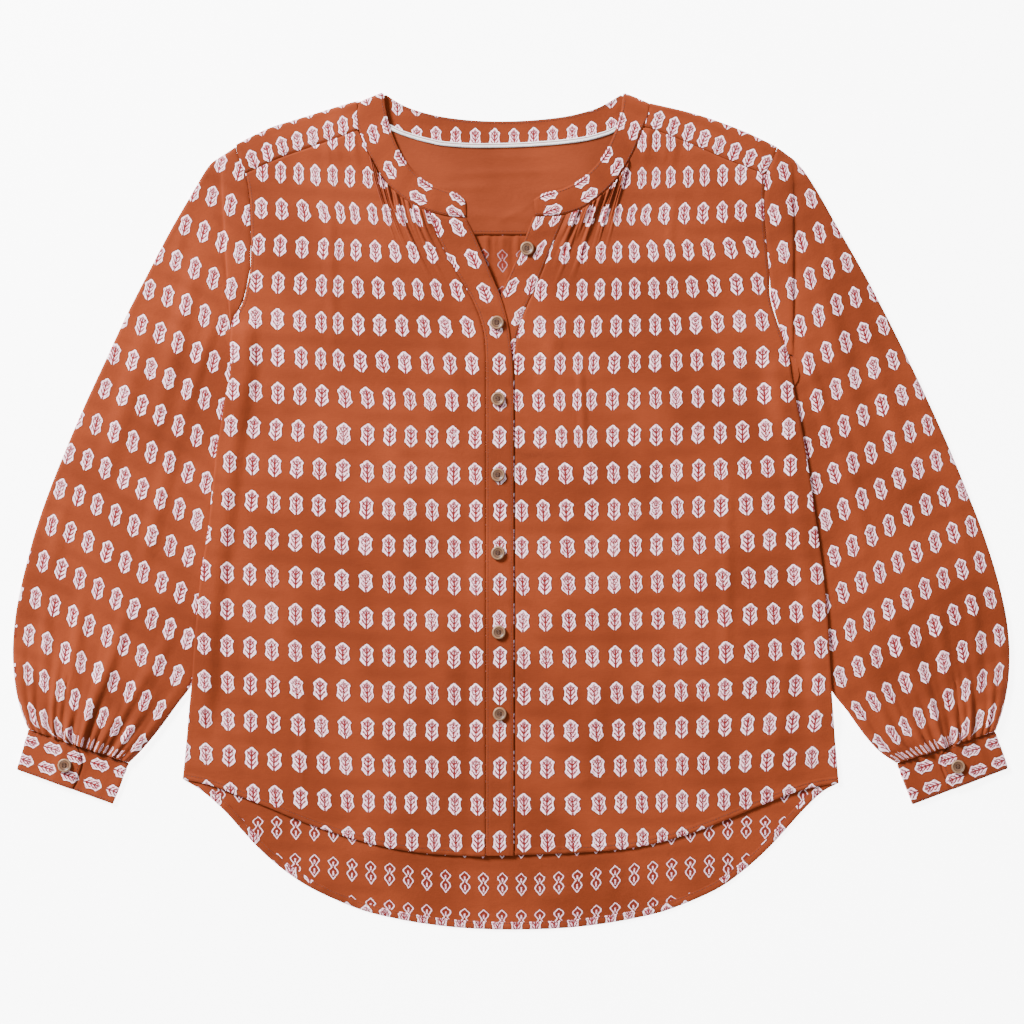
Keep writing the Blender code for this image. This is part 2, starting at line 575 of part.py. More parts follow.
def close_shell(name, outer, inner, faces, material):
    """A wall from two matching point sets and the faces of the outer one."""
    count = len(outer)
    faces = [tuple(int(v) for v in face) for face in faces]
    edges = {(a, b) for face in faces for a, b in zip(face, face[1:] + face[:1])}
    rim = [(b, a) for a, b in edges if (b, a) not in edges]
    back = [tuple(v + count for v in face[::-1]) for face in faces]
    sides = [(a, b, b + count, a + count) for a, b in sorted(rim)]
    return add_mesh(name, np.vstack([outer, inner]), faces + back + sides, material)


def yoke_lining(material):
    """Plain cloth on the inside of the yoke, seen through the neck."""
    top = [(-233.0, 322.0), (-205.0, 336.0), (-165.0, 350.0), (-138.0, 356.5)]
    top += [(x, y - 1.0) for x, y in BACK_NECK if -130.0 < x < 118.0]
    top += [(124.0, 356.5), (165.0, 346.5), (200.0, 334.0), (224.0, 321.0)]
    u = np.linspace(0.0, 1.0, 27)
    upper = spline(top, u)
    lower = np.column_stack([np.linspace(-229.0, 222.5, 27), np.full(27, YOKE_SEAM_Y + 0.2)])
    rows = [upper + (lower - upper) * v for v in (0.0, 0.33, 0.67, 1.0)]
    sheet("yoke_lining", rows, [STEP] * 4, material)


def neck_tape(material):
    middle = spline([row for row in BACK_NECK if -128.0 < row[0] < 113.0], np.linspace(0, 1, 23))
    normal = normals_of(middle, (0.0, 1.0))
    rows = [middle + normal * (TAPE_WIDTH * k) for k in (0.5, -0.5)]
    sheet("neck_tape", rows, [2 * STEP] * 2, material)


def neck_band(material):
    """One strip: right front, folded at the shoulder, across the back, folded again, left front."""
    front = np.linspace(0.0, 1.0, 17)
    back = np.linspace(0.0, 1.0, 15)
    angles = [math.radians(a) for a in (60, 30, 0, -30, -60)]
    sections = []
    for side in ("right", "left"):
        seam = spline(NECK_SEAM[side][::-1], front)
        free = spline(NECK_EDGE[side][::-1], front)
        seam = seam + (free - seam) * (0.5 / np.linalg.norm(free - seam, axis=1))[:, None]
        line = free[-1] - seam[-1]
        out = np.array([-line[1], line[0]]) / np.linalg.norm(line)
        out = out * np.sign(out[1])
        radius = (2 * STEP + STEP + CLOTH) / 2
        part = []
        for k in range(len(front)):
            ends = np.array([seam[k], free[k]])
            shift = out * radius * ease(0.86, 1.0, front[k])
            ends = ends - shift
            low = front_level(ends[:, 0], ends[:, 1])
            part.append((ends, low + CLOTH, low))
        crease = np.array([seam[-1], free[-1]])
        for angle in angles:
            flats = [crease + out * (r * math.cos(angle) - radius) for r in (radius, radius - CLOTH)]
            heights = [radius + r * math.sin(angle) for r in (radius, radius - CLOTH)]
            part.append((flats, np.full(2, heights[0]), np.full(2, heights[1])))
        sections.append((part, crease - out * radius))
    seam = spline([(x, y + GAP / 2) for x, y in BACK_NECK], back)
    free = spline(BACK_BAND_EDGE, back)
    middle = []
    for k in range(len(back)):
        ends = np.array([seam[k], free[k]])
        if k == 0:
            ends = sections[0][1]
        if k == len(back) - 1:
            ends = sections[1][1]
        middle.append((ends, np.zeros(2), np.full(2, CLOTH)))
    strip = sections[0][0] + middle + sections[1][0][::-1]
    outer, inner = [], []
    for flats, high, low in strip:
        a, b = (flats[0], flats[1]) if isinstance(flats, list) else (flats, flats)
        outer.append(raised(a, high))
        inner.append(raised(b, low))
    shell("neck_band", outer, inner, material)


def placket(side, material):
    """A band down the front edge, lying beside its panel. The right one lies on the left one."""
    free, seam = np.array(PLACKET_EDGE[side]), np.array(PLACKET_SEAM[side])
    for y in np.linspace(109.1, -309.5, 12)[1:]:
        free = np.vstack([free, (free[-1, 0], y)])
        seam = np.vstack([seam, (seam[-1, 0], y)])
    share = np.linspace(0.0, 1.0, 5)[:, None]
    neck = sorted(NECK_SEAM[side][5:])
    rows, levels = [], []
    for k, (a, b) in enumerate(zip(seam, free)):
        row = a + (b - a) * share
        if k == 0:
            row[:, 1] = np.interp(row[:, 0], *np.array(neck).T) - 0.7
        row = row if side == "right" else row[::-1]
        level = front_level(row[:, 0], row[:, 1])
        if side == "right":
            level = level + STEP * (1 - ease(214.0, 247.0, row[:, 1]))
        rows.append(row)
        levels.append(level)
    sheet("placket_" + side, rows, levels, material)


def ring_line(side, number, share):
    """Points of one sleeve ring, outer edge to inner edge."""
    share = np.asarray(share, float)
    if number == 0:
        sign = -1.0 if side == "right" else 1.0
        points = np.array(ARMHOLE[side]) + (sign * GAP, 0.0)
        knots = armhole_shares(side)
        return np.stack([np.interp(share, knots, points[:, k]) for k in (0, 1)], axis=-1)
    ox, oy, ix, iy, bow, _ = SLEEVE_RINGS[side][number]
    start, end = np.array([ox, oy]), np.array([ix, iy])
    normal = np.array([-(end - start)[1], (end - start)[0]]) / np.linalg.norm(end - start)
    flat = start + (end - start) * share[:, None]
    return flat + normal * (bow * np.sin(np.pi * share))[:, None]


def armhole_shares(side):
    """Share of the armhole's length at each of its points."""
    steps = np.linalg.norm(np.diff(np.array(ARMHOLE[side]), axis=0), axis=1)
    return np.r_[0.0, np.cumsum(steps)] / steps.sum()


def inward(points, sign):
    """Unit vectors square to an edge of the sleeve, with x pointing the way of the sign."""
    run = np.gradient(points, axis=0)
    normal = np.column_stack([-run[:, 1], run[:, 0]])
    normal /= np.linalg.norm(normal, axis=1)[:, None]
    return normal * (sign * np.sign(normal[:, 0]))[:, None]


def sleeve_height(side, number, line, share, loft, away, gathers):
    """Undersides of a ring's upper and lower layer."""
    swell = np.sin(np.pi * np.clip(share, 0.0, 1.0))
    high = SLEEVE_TOP - 0.3 * (number < 6) * ease(0.6, 1.0, share) + loft * swell * swell
    if number == 0:
        high = front_level(line[:, 0], line[:, 1])
    elif number == 1:
        high = 1.7 + 1.8 * np.sqrt(swell)
    elif number == 2:
        high = np.full(len(share), 1.7)
    pitch = 1.0 / CUFF_GATHERS[2]
    high = high + gather_lift(gathers, share, away) * swell ** 0.35 + 0.6 * (1 - ease(0, 95, away))
    low = 0.4 * gather_lift(gathers, share - 0.5 * pitch, away) * swell ** 0.5
    return high, low


def sleeve(side, material):
    """A flattened tube: upper layer, lower layer, with a fold down each edge."""
    rings = SLEEVE_RINGS[side]
    last = len(rings) - 1
    pitch = 1.0 / CUFF_GATHERS[2]
    gathers = ridges(0.5 * pitch, pitch, *CUFF_GATHERS[2:])
    fine = sorted([row[0] for row in gathers]
                  + [0.5 * (a[0] + b[0]) for a, b in zip(gathers, gathers[1:])])
    coarse = np.linspace(0.0, 1.0, 12)
    edges = [np.array([row[k:k + 2] for row in rings]) for k in (0, 2)]
    outward = -1.0 if side == "right" else 1.0
    into = [inward(edges[0], -outward), inward(edges[1], outward)]
    foot = 0.5 * (edges[0][-1] + edges[1][-1])
    outer, inner, places = [], [], []
    for j in range(last + 1):
        run = edges[1][j] - edges[0][j]
        width = np.linalg.norm(run)
        slants = [max(abs(float(run @ into[k][j])) / width, 0.3) for k in (0, 1)]
        margin = [2.6 / (slant * width) for slant in slants]
        inside = np.array(fine) if j >= last - 6 else coarse
        if j == 0:
            share = armhole_shares(side)[1:-1]
        elif j >= last - 6:
            share = np.r_[0.024, inside[(inside > 0.04) & (inside < 0.96)], 0.976]
        else:
            share = margin[0] + (1 - sum(margin)) * inside
        whole = np.r_[0.0, share, 1.0]
        line = ring_line(side, j, whole)
        away = np.linalg.norm(line.mean(axis=0) - foot)
        high, low = sleeve_height(side, j, line, whole, rings[j][5], away, gathers)
        half = 0.5 * (high + CLOTH)
        for found, upper, lower, depth in ((outer, high + CLOTH, low, 0.0),
                                           (inner, high, low + CLOTH, CLOTH)):
            ends = []
            for k, at in ((0, 0), (1, -1)):
                tall = half[at] - depth
                middle = line[at] + into[k][j] * depth
                corner = middle + into[k][j] * ((0.08 if k and j < 6 else 0.3) * tall)
                ends.append([np.append(corner, half[at] - 0.7 * tall),
                             np.append(middle, half[at]),
                             np.append(corner, half[at] + 0.7 * tall)])
            top, under = raised(line, upper)[1:-1], raised(line, lower)[1:-1]
            found.append(np.array(ends[0][1:] + list(top) + ends[1][::-1] + list(under[::-1])
                                  + ends[0][:1]))
        places.append(np.r_[0.0, 0.005, share, 0.995, 1.0, 1.005, 2 - share[::-1], 1.995, 2.0])
    shell("sleeve_" + side, outer, inner, material, places, closed=True)


def cuff_path(width, end):
    """Centre line of the cuff's section, from the hidden end round to the one on top."""
    low, under, over = 0.5 * CLOTH, STEP + 0.5 * CLOTH, 2 * STEP + 0.5 * CLOTH
    tight = 0.5 * STEP
    path = [(40.0, under), (0.62 * width, under)]
    for angle in (90, 45, 0, -45, -90):
        a = math.radians(angle)
        path.append((width - tight - 0.5 * CLOTH + tight * math.cos(a), low + tight
                     + tight * math.sin(a)))
    path.append((0.5 * width, low))
    loose = 0.5 * (2.6 - low)
    for angle in (-90, -45, 0, 45, 90):
        a = math.radians(angle)
        path.append((loose + 0.5 * CLOTH - loose * math.cos(a), low + loose
                     + loose * math.sin(a)))
    path += [(22.0, 2.7), (36.0, over), (46.0, over), (end, over)]
    return np.array(path)


def cuff(side, material):
    """A band round the wrist laid flat, its outer end lapped over with a rounded tip."""
    a, b, c, d = (np.array(p) for p in CUFF[side])
    width = np.linalg.norm(b - a)
    outer, inner = [], []
    for v in (0.0, 0.1, 0.25, 0.5, 0.75, 0.9, 1.0):
        end = 55.8 - 5.5 * abs(2 * v - 1) ** 2.6
        path = cuff_path(width, end)
        run = np.gradient(path, axis=0)
        normal = np.column_stack([-run[:, 1], run[:, 0]])
        normal /= np.linalg.norm(normal, axis=1)[:, None]
        for found, shift in ((outer, 0.5 * CLOTH), (inner, -0.5 * CLOTH)):
            row = path + normal * shift
            u = row[:, 0:1] / width
            flat = (1 - v) * ((1 - u) * a + u * b) + v * ((1 - u) * d + u * c)
            found.append(np.column_stack([flat, row[:, 1]]))
    shell("cuff_" + side, outer, inner, material)


def button(name, x, y, material):
    """Four holes in a dish with a raised, rounded rim."""
    z = overlap_top(x, y)
    r, h = BUTTON_RADIUS, BUTTON_THICK
    profile = [(0.0, 0.0), (r - 1.0, 0.0), (r, 0.8), (r, h - 0.8), (r - 0.8, h),
               (r - 2.0, h - 0.7), (0.0, h - 0.8)]
    mesh = bpy.data.meshes.new(name)
    verts = [(q * MM, 0.0, w * MM) for q, w in profile[::-1]]
    mesh.from_pydata(verts, [(i, i + 1) for i in range(len(verts) - 1)], [])
    mesh.materials.append(material)
    obj = bpy.data.objects.new(name, mesh)
    bpy.data.collections["blouse"].objects.link(obj)
    turn = obj.modifiers.new("Turn", "SCREW")
    turn.axis = "Z"
    turn.angle = math.tau
    turn.steps = 14
    turn.render_steps = 14
    turn.use_merge_vertices = True
    turn.merge_threshold = 0.00001
    turn.use_normal_calculate = True
    obj.location = (x * MM, y * MM, z * MM)
    for k in range(4):
        angle = math.radians(45 + 90 * k)
        cutter = hole_cutter(name + "_hole_%d" % k, x + BUTTON_HOLE_OFFSET * math.cos(angle),
                             y + BUTTON_HOLE_OFFSET * math.sin(angle), z)
        cut = obj.modifiers.new("Hole %d" % k, "BOOLEAN")
        cut.operation = "DIFFERENCE"
        cut.solver = "EXACT"
        cut.object = cutter
    return obj


def hole_cutter(name, x, y, z):
    sides = 6
    points = []
    for height in (-1.0, BUTTON_THICK + 1.0):
        for k in range(sides):
            a = math.tau * k / sides
            points.append((BUTTON_HOLE * math.cos(a), BUTTON_HOLE * math.sin(a), height))
    faces = [tuple(range(sides))[::-1], tuple(range(sides, 2 * sides))]
    faces += [(k, (k + 1) % sides, sides + (k + 1) % sides, sides + k) for k in range(sides)]
    mesh = bpy.data.meshes.new(name)
    mesh.from_pydata([tuple(c * MM for c in p) for p in points], [], faces)
    obj = bpy.data.objects.new(name, mesh)
    bpy.data.collections["cutters"].objects.link(obj)
    obj.location = (x * MM, y * MM, z * MM)
    obj.hide_render = True
    obj.display_type = "WIRE"
    return obj


def overlap_top(x, y):
    """Height at which a button sits."""
    if abs(x) > 300.0:
        return 2 * STEP + CLOTH + GAP
    if y > 230.0:
        return float(front_level(x, y)) + CLOTH + GAP
    return float(front_level(x, y)) + STEP + CLOTH + GAP


def make_material(name, colour, roughness):
    material = bpy.data.materials.new(name)
    material.use_nodes = True
    shader = material.node_tree.nodes["Principled BSDF"]
    shader.inputs["Base Color"].default_value = (*colour, 1.0)
    shader.inputs["Roughness"].default_value = roughness
    return material


def centre_all():
    """Puts the middle of the whole blouse over the origin."""
    low, high = np.full(3, np.inf), np.full(3, -np.inf)
    pieces = [obj for obj in bpy.data.collections["blouse"].objects if not obj.modifiers]
    for obj in pieces:
        for vertex in obj.data.vertices:
            low = np.minimum(low, vertex.co)
            high = np.maximum(high, vertex.co)
    shift = (low + high) / 2
    shift[2] = low[2]
    for obj in bpy.data.objects:
        if obj in pieces:
            for vertex in obj.data.vertices:
                vertex.co = np.array(vertex.co) - shift
        else:
            obj.location = np.array(obj.location) - shift


def main():
    clear_scene()
    scene = bpy.context.scene
    for name in ("blouse", "cutters"):
        group = bpy.data.collections.new(name)
        scene.collection.children.link(group)
    bpy.data.collections["cutters"].hide_render = True
    printed = (0.42, 0.09, 0.03)
    cloth = {}
    for piece in ("back", "front_right", "front_left", "yoke", "neck_band", "placket_right",
                  "placket_left", "sleeve_right", "sleeve_left", "cuff_right", "cuff_left"):
        cloth[piece] = make_material(piece + "_cloth", printed, 0.8)
    back_panel(cloth["back"])
    yoke(cloth["yoke"])
    yoke_lining(make_material("lining_cloth", (0.43, 0.1, 0.032), 0.8))
    neck_tape(make_material("tape_cotton", (0.86, 0.84, 0.82), 0.85))
    neck_band(cloth["neck_band"])
    for side in ("right", "left"):
        front_panel(side, cloth["front_" + side])
        placket(side, cloth["placket_" + side])
        sleeve(side, cloth["sleeve_" + side])
        cuff(side, cloth["cuff_" + side])
    horn = make_material("button_horn", (0.26, 0.17, 0.07), 0.45)
    for name, x, y in BUTTONS:
        button(name, x, y, horn)
    centre_all()


main()
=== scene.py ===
"""Looks of a blouse laid flat: printed cloth, gathers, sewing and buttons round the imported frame.

Tables are in millimetres. +Y points to the neck and +X to the wearer's left; "right" and
"left" are the wearer's own. Each piece of cloth is a thin wall on the form of its solid.
"""

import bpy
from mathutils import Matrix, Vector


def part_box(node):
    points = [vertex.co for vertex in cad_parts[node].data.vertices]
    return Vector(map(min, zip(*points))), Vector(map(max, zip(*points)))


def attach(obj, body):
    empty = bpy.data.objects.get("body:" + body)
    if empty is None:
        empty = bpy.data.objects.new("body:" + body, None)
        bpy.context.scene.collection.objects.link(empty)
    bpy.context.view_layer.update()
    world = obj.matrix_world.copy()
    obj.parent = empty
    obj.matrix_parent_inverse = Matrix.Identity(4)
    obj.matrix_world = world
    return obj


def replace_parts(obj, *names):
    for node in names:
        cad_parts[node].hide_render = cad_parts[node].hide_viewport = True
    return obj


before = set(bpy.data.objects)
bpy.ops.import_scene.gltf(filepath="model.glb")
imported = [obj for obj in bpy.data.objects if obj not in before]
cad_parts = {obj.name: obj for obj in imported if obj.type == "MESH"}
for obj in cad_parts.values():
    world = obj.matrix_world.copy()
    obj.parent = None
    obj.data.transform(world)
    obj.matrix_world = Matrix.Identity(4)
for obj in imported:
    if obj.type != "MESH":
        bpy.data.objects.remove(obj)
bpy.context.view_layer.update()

import math

import bmesh
import bpy
import numpy as np
from mathutils import Vector
from mathutils.bvhtree import BVHTree

bl_info = {
    "name": "Blouse, laid flat",
    "version": (1, 0, 0),
    "blender": (4, 5, 0),
    "location": "3D View > Sidebar > Blouse",
    "description": "Makes the printed blouse on its packed frame",
    "category": "Object",
}

MM = 0.001
SOLID_CLOTH = 1.2  # wall of the solids, whose outer faces the cloth keeps
GAP = 0.3
STEP = SOLID_CLOTH + GAP
SLEEVE_TOP = SOLID_CLOTH + 0.8
LEAF_PITCH = 20.3  # from leaf to leaf along a row, on the flat cut
ROW_PITCH = 32.9  # from row to row
RISE = SLEEVE_TOP + SOLID_CLOTH + GAP
YOKE_SEAM_Y = 249.6
TUCK_BLEND = (10.0, 27.0)
PICTURE_WIDTH = 0.9216  # what the camera takes in, in metres
PICTURE_CENTRE = (0.45, -0.7)

# Outlines seen from above: (x, y).
ARMHOLE = {
    "right": [(-248.0, 327.5), (-243.5, 313.4), (-239.0, 302.6), (-236.2, 288.2), (-234.8, 272.0),
              (-234.3, 244.1), (-234.8, 218.0), (-238.1, 200.9), (-241.1, 189.2), (-245.2, 181.1),
              (-250.7, 173.5)],
    "left": [(239.0, 327.0), (235.0, 317.0), (228.2, 302.6), (226.8, 281.0), (227.2, 262.1),
             (228.7, 243.2), (230.6, 224.3), (231.8, 211.7), (233.1, 190.1), (241.7, 162.2),
             (248.8, 141.1)],
}
SIDE = {
    "right": [(-250.7, 173.5), (-252.5, 154.1), (-252.5, 124.4), (-257.0, 103.7), (-260.6, 80.3),
              (-265.1, 53.3), (-268.2, 24.5), (-272.6, -16.9), (-276.8, -43.0), (-280.8, -71.8),
              (-283.1, -98.8), (-285.4, -124.9), (-287.2, -154.6), (-289.6, -178.0),
              (-292.9, -213.1), (-295.7, -241.0)],
    "left": [(248.8, 141.1), (251.0, 124.4), (254.7, 103.7), (259.4, 80.3), (264.2, 53.3),
             (268.7, 24.5), (274.6, -16.9), (278.2, -43.0), (281.6, -71.8), (284.0, -98.8),
             (285.5, -124.9), (287.1, -154.6), (288.7, -178.0), (291.6, -213.1), (294.3, -244.6)],
}
SHOULDER = {
    "right": [(-248.0, 329.6), (-233.6, 337.2), (-216.5, 345.2), (-198.1, 351.0),
              (-174.2, 358.4), (-155.0, 364.3), (-140.4, 368.4)],
    "left": [(239.0, 327.6), (212.0, 340.4), (186.8, 350.3), (170.0, 355.8), (155.2, 359.9),
             (140.0, 363.4), (127.2, 366.2)],
}
SHOULDER_SEAM = {
    "right": [(-239.4, 303.6), (-222.2, 311.6), (-204.9, 319.0), (-191.2, 323.8),
              (-174.2, 329.6), (-154.3, 336.4), (-137.8, 342.6)],
    "left": [(228.4, 303.0), (203.4, 312.5), (186.8, 319.3), (164.2, 329.2), (145.3, 336.8),
             (130.0, 342.4), (118.9, 345.4)],
}
NECK_SEAM = {
    "right": [(-139.2, 367.0), (-140.3, 356.5), (-137.2, 341.3), (-128.2, 320.6),
              (-119.5, 304.5), (-109.7, 291.8), (-95.9, 280.1), (-78.8, 271.1), (-59.9, 265.7),
              (-40.6, 263.7)],
    "left": [(125.4, 366.0), (124.0, 356.0), (118.4, 344.0), (109.4, 321.1), (97.6, 301.8),
             (88.7, 291.4), (77.0, 281.0), (63.5, 271.9), (44.6, 266.2), (20.9, 265.2)],
}
NECK_EDGE = {
    "right": [(-115.7, 376.6), (-113.6, 363.0), (-109.7, 346.8), (-104.8, 332.8),
              (-97.7, 318.3), (-90.2, 308.1), (-81.5, 299.9), (-72.0, 293.6), (-60.8, 289.0),
              (-49.5, 285.8), (-41.6, 279.0)],
    "left": [(101.2, 376.2), (98.9, 362.0), (95.0, 348.0), (88.9, 332.0), (80.6, 317.2),
             (69.8, 304.8), (57.6, 295.6), (44.6, 289.6), (30.0, 286.0), (19.8, 280.1)],
}
BACK_BAND_EDGE = [(-115.7, 376.6), (-95.9, 364.5), (-67.5, 355.9), (-31.1, 351.4), (7.7, 351.2),
                  (44.6, 354.6), (68.0, 359.8), (81.5, 364.8), (101.2, 376.2)]
BACK_NECK = [(-138.8, 364.6), (-124.0, 354.6), (-109.7, 345.8), (-99.5, 340.8), (-85.0, 336.0),
             (-72.5, 332.8), (-59.9, 330.4), (-31.1, 328.7), (7.7, 329.4), (35.6, 331.2),
             (53.6, 333.0), (68.0, 335.2), (81.5, 338.8), (91.4, 342.6), (108.0, 352.4),
             (124.6, 363.4)]
FRONT_HEM = [(-295.7, -241.0), (-272.2, -245.9), (-248.8, -254.5), (-219.2, -266.2),
             (-195.8, -276.1), (-166.5, -286.9), (-137.2, -296.0), (-107.5, -303.1),
             (-78.3, -307.6), (-49.1, -309.6), (-19.4, -310.3), (3.1, -309.4), (41.0, -308.0),
             (79.7, -305.8), (108.5, -302.7), (138.2, -296.4), (167.8, -287.3),
             (196.7, -276.1), (220.1, -266.2), (249.8, -254.5), (273.2, -247.7),
             (294.3, -244.6)]
BACK_HEM = [(-295.7, -241.0), (-278.6, -251.6), (-258.8, -268.9), (-242.6, -286.9),
            (-226.3, -304.3), (-204.8, -322.9), (-176.8, -340.9), (-135.5, -358.6),
            (-100.0, -367.4), (-70.7, -372.2), (-40.1, -375.3), (0.5, -376.6), (43.6, -375.3),
            (77.0, -372.0), (110.0, -366.4), (141.8, -358.4), (183.2, -340.9),
            (209.2, -322.9), (230.0, -304.3), (246.2, -286.9), (262.4, -268.9),
            (279.6, -252.6), (294.3, -244.6)]
# Free edge and sewn edge of each placket band, neck to hem.
PLACKET_EDGE = {
    "right": [(-41.0, 262.9), (-33.8, 248.6), (-24.8, 227.9), (-15.2, 205.4), (-9.5, 191.5),
              (-5.0, 176.6), (-2.2, 162.2), (-0.6, 149.0), (0.9, 131.6), (1.8, 109.1)],
    "left": [(19.4, 264.3), (11.2, 243.2), (3.1, 223.5), (-3.5, 208.6), (-9.0, 196.0),
             (-15.4, 179.3), (-20.2, 161.3), (-22.2, 143.3), (-22.9, 125.3), (-22.9, 109.1)],
}
PLACKET_SEAM = {
    "right": [(-72.5, 268.2), (-66.5, 247.7), (-53.2, 221.6), (-42.8, 203.6), (-33.8, 187.3),
              (-27.5, 171.1), (-24.3, 157.0), (-23.3, 143.0), (-23.0, 131.0), (-23.0, 109.1)],
    "left": [(48.5, 266.4), (42.0, 251.0), (34.8, 234.3), (26.6, 213.5), (20.0, 198.5),
             (14.0, 185.6), (8.1, 170.7), (4.6, 157.0), (2.8, 139.0), (2.5, 109.1)],
}
# Cuff corners: outer top, inner top, inner bottom, outer bottom.
CUFF = {
    "right": [(-434.6, -196.0), (-343.8, -226.6), (-357.9, -263.5), (-445.1, -232.2)],
    "left": [(435.2, -197.8), (346.1, -226.9), (360.4, -263.9), (446.9, -231.1)],
}
# Sleeve rings, armhole to cuff: (outer x, outer y, inner x, inner y, loft).
SLEEVE_RINGS = {
    "right": [
        (-248.0, 327.5, -250.9, 173.5, 0.0), (-258.8, 320.6, -252.0, 170.3, 0.0),
        (-263.2, 317.9, -252.8, 167.6, 0.0), (-273.2, 309.2, -253.0, 162.2, 0.3),
        (-289.4, 282.2, -253.2, 154.1, 0.6), (-306.4, 253.1, -246.2, 137.9, 0.8),
        (-327.2, 213.5, -246.2, 115.4, 0.9), (-346.1, 176.6, -250.6, 89.3, 1.0),
        (-364.9, 136.1, -255.0, 60.5, 1.0), (-383.3, 96.5, -259.7, 28.1, 1.0),
        (-400.3, 56.9, -264.0, -6.1, 1.1), (-415.4, 19.1, -268.7, -40.3, 1.2),
        (-427.9, -16.9, -273.8, -74.5, 1.3), (-437.7, -52.9, -277.7, -106.9, 1.5),
        (-444.9, -86.2, -281.6, -135.7, 1.6), (-448.2, -115.9, -286.7, -154.6, 1.7),
        (-448.0, -141.1, -301.1, -174.4, 1.7), (-445.1, -163.6, -318.2, -197.8, 1.5),
        (-440.3, -181.6, -332.6, -214.9, 1.1), (-434.7, -195.4, -343.7, -226.0, 0.5),
    ],
    "left": [
        (239.0, 327.0, 249.1, 141.1, 0.0), (249.8, 319.4, 251.7, 140.6, 0.0),
        (255.2, 315.0, 253.8, 138.2, 0.0), (265.1, 303.2, 255.0, 131.5, 0.3),
        (279.4, 280.2, 254.5, 118.7, 0.6), (294.8, 252.6, 251.9, 104.0, 0.8),
        (317.2, 213.5, 249.8, 89.3, 0.9), (337.1, 175.7, 254.2, 64.1, 1.0),
        (356.9, 136.1, 258.2, 37.1, 1.0), (375.8, 96.5, 262.4, 10.1, 1.0),
        (393.6, 56.9, 266.3, -18.7, 1.1), (409.1, 19.1, 269.8, -49.3, 1.2),
        (423.2, -16.9, 273.2, -79.9, 1.3), (435.0, -52.9, 276.8, -110.5, 1.5),
        (443.6, -87.1, 281.2, -137.5, 1.6), (447.5, -115.9, 286.8, -159.5, 1.7),
        (447.8, -141.1, 301.9, -179.8, 1.7), (445.5, -161.8, 318.2, -202.3, 1.5),
        (441.0, -181.6, 331.7, -216.7, 1.1), (435.4, -197.2, 346.0, -226.3, 0.5),
    ],
}
# Gathers: (first ridge, pitch, number, longest, height), along the gathered edge.
NECK_GATHERS = (0.0, 5.8, 13, 78.0, 3.1)
SHOULDER_GATHERS = (4.0, 8.0, 4, 46.0, 1.3)
BACK_GATHERS = (-66.0, 6.4, 21, 60.0, 1.5)
CUFF_GATHERS = (0.0, 1.0, 14, 124.0, 4.4)
PLEATS_END = 11.0  # how far above the cuff its fine pleats take up the print
BUTTONS = [
    ("button_1", 14.0, 236.0), ("button_2", -13.1, 169.4), ("button_3", -12.2, 101.0),
    ("button_4", -12.2, 32.6), ("button_5", -12.2, -37.6), ("button_6", -11.4, -108.7),
    ("button_7", -10.6, -182.0), ("button_cuff_right", -401.3, -228.2),
    ("button_cuff_left", 400.9, -229.3),
]
# Soft folds: (from x, from y, to x, to y, half width, height, cloth taken up across it).
# A trough has a height below 0.
FRONT_FOLDS = {
    "right": [
        (-163.4, 296, -160, 128, 7, 1.01, 0), (-186, -160, -190, -262, 6, 0.94, 0),
        (-232, 205, -252, -20, 17, 0.94, 0), (-76, 168, -36, 84, 13, 0.81, 0),
        (-214, -60, -176, -205, 15, 0.81, 0), (-262, -90, -226, -252, 12, 0.94, 0),
        (-104, 112, -92, -62, 20, 0.68, 0), (-60, -110, -44, -268, 15, 0.81, 0),
        (-130, -20, -118, -176, 17, -0.54, 0),
    ],
    "left": [
        (59.9, 148, 66, 52, 6, 0.94, 0), (196, 70, 192, -172, 7.5, 1.08, 0),
        (147, 292, 140, 222, 5, 0.68, 0), (228, 190, 251, -30, 17, 0.94, 0),
        (44, 176, 24, 92, 12, 0.81, 0), (120, 110, 104, -70, 20, 0.68, 0),
        (258, -70, 232, -248, 13, 0.94, 0), (84, -120, 60, -272, 16, 0.81, 0),
        (150, -30, 142, -190, 17, -0.54, 0),
    ],
}
BACK_FOLDS = [
    (-190.0, 190.0, -214.0, -60.0, 18.0, 0.5, 0.0), (-88.0, 150.0, -102.0, -140.0, 20.0, 0.5, 0.0),
    (36.0, 120.0, 30.0, -190.0, 18.0, 0.5, 0.0), (150.0, 170.0, 176.0, -110.0, 20.0, 0.5, 0.0),
    (-140.0, -300.0, -120.0, -352.0, 10.0, 0.5, 0.0),
    (-30.0, -318.0, -18.0, -368.0, 11.0, 0.5, 0.0),
    (96.0, -312.0, 84.0, -358.0, 10.0, 0.5, 0.0), (196.0, -290.0, 186.0, -330.0, 9.0, 0.4, 0.0),
]
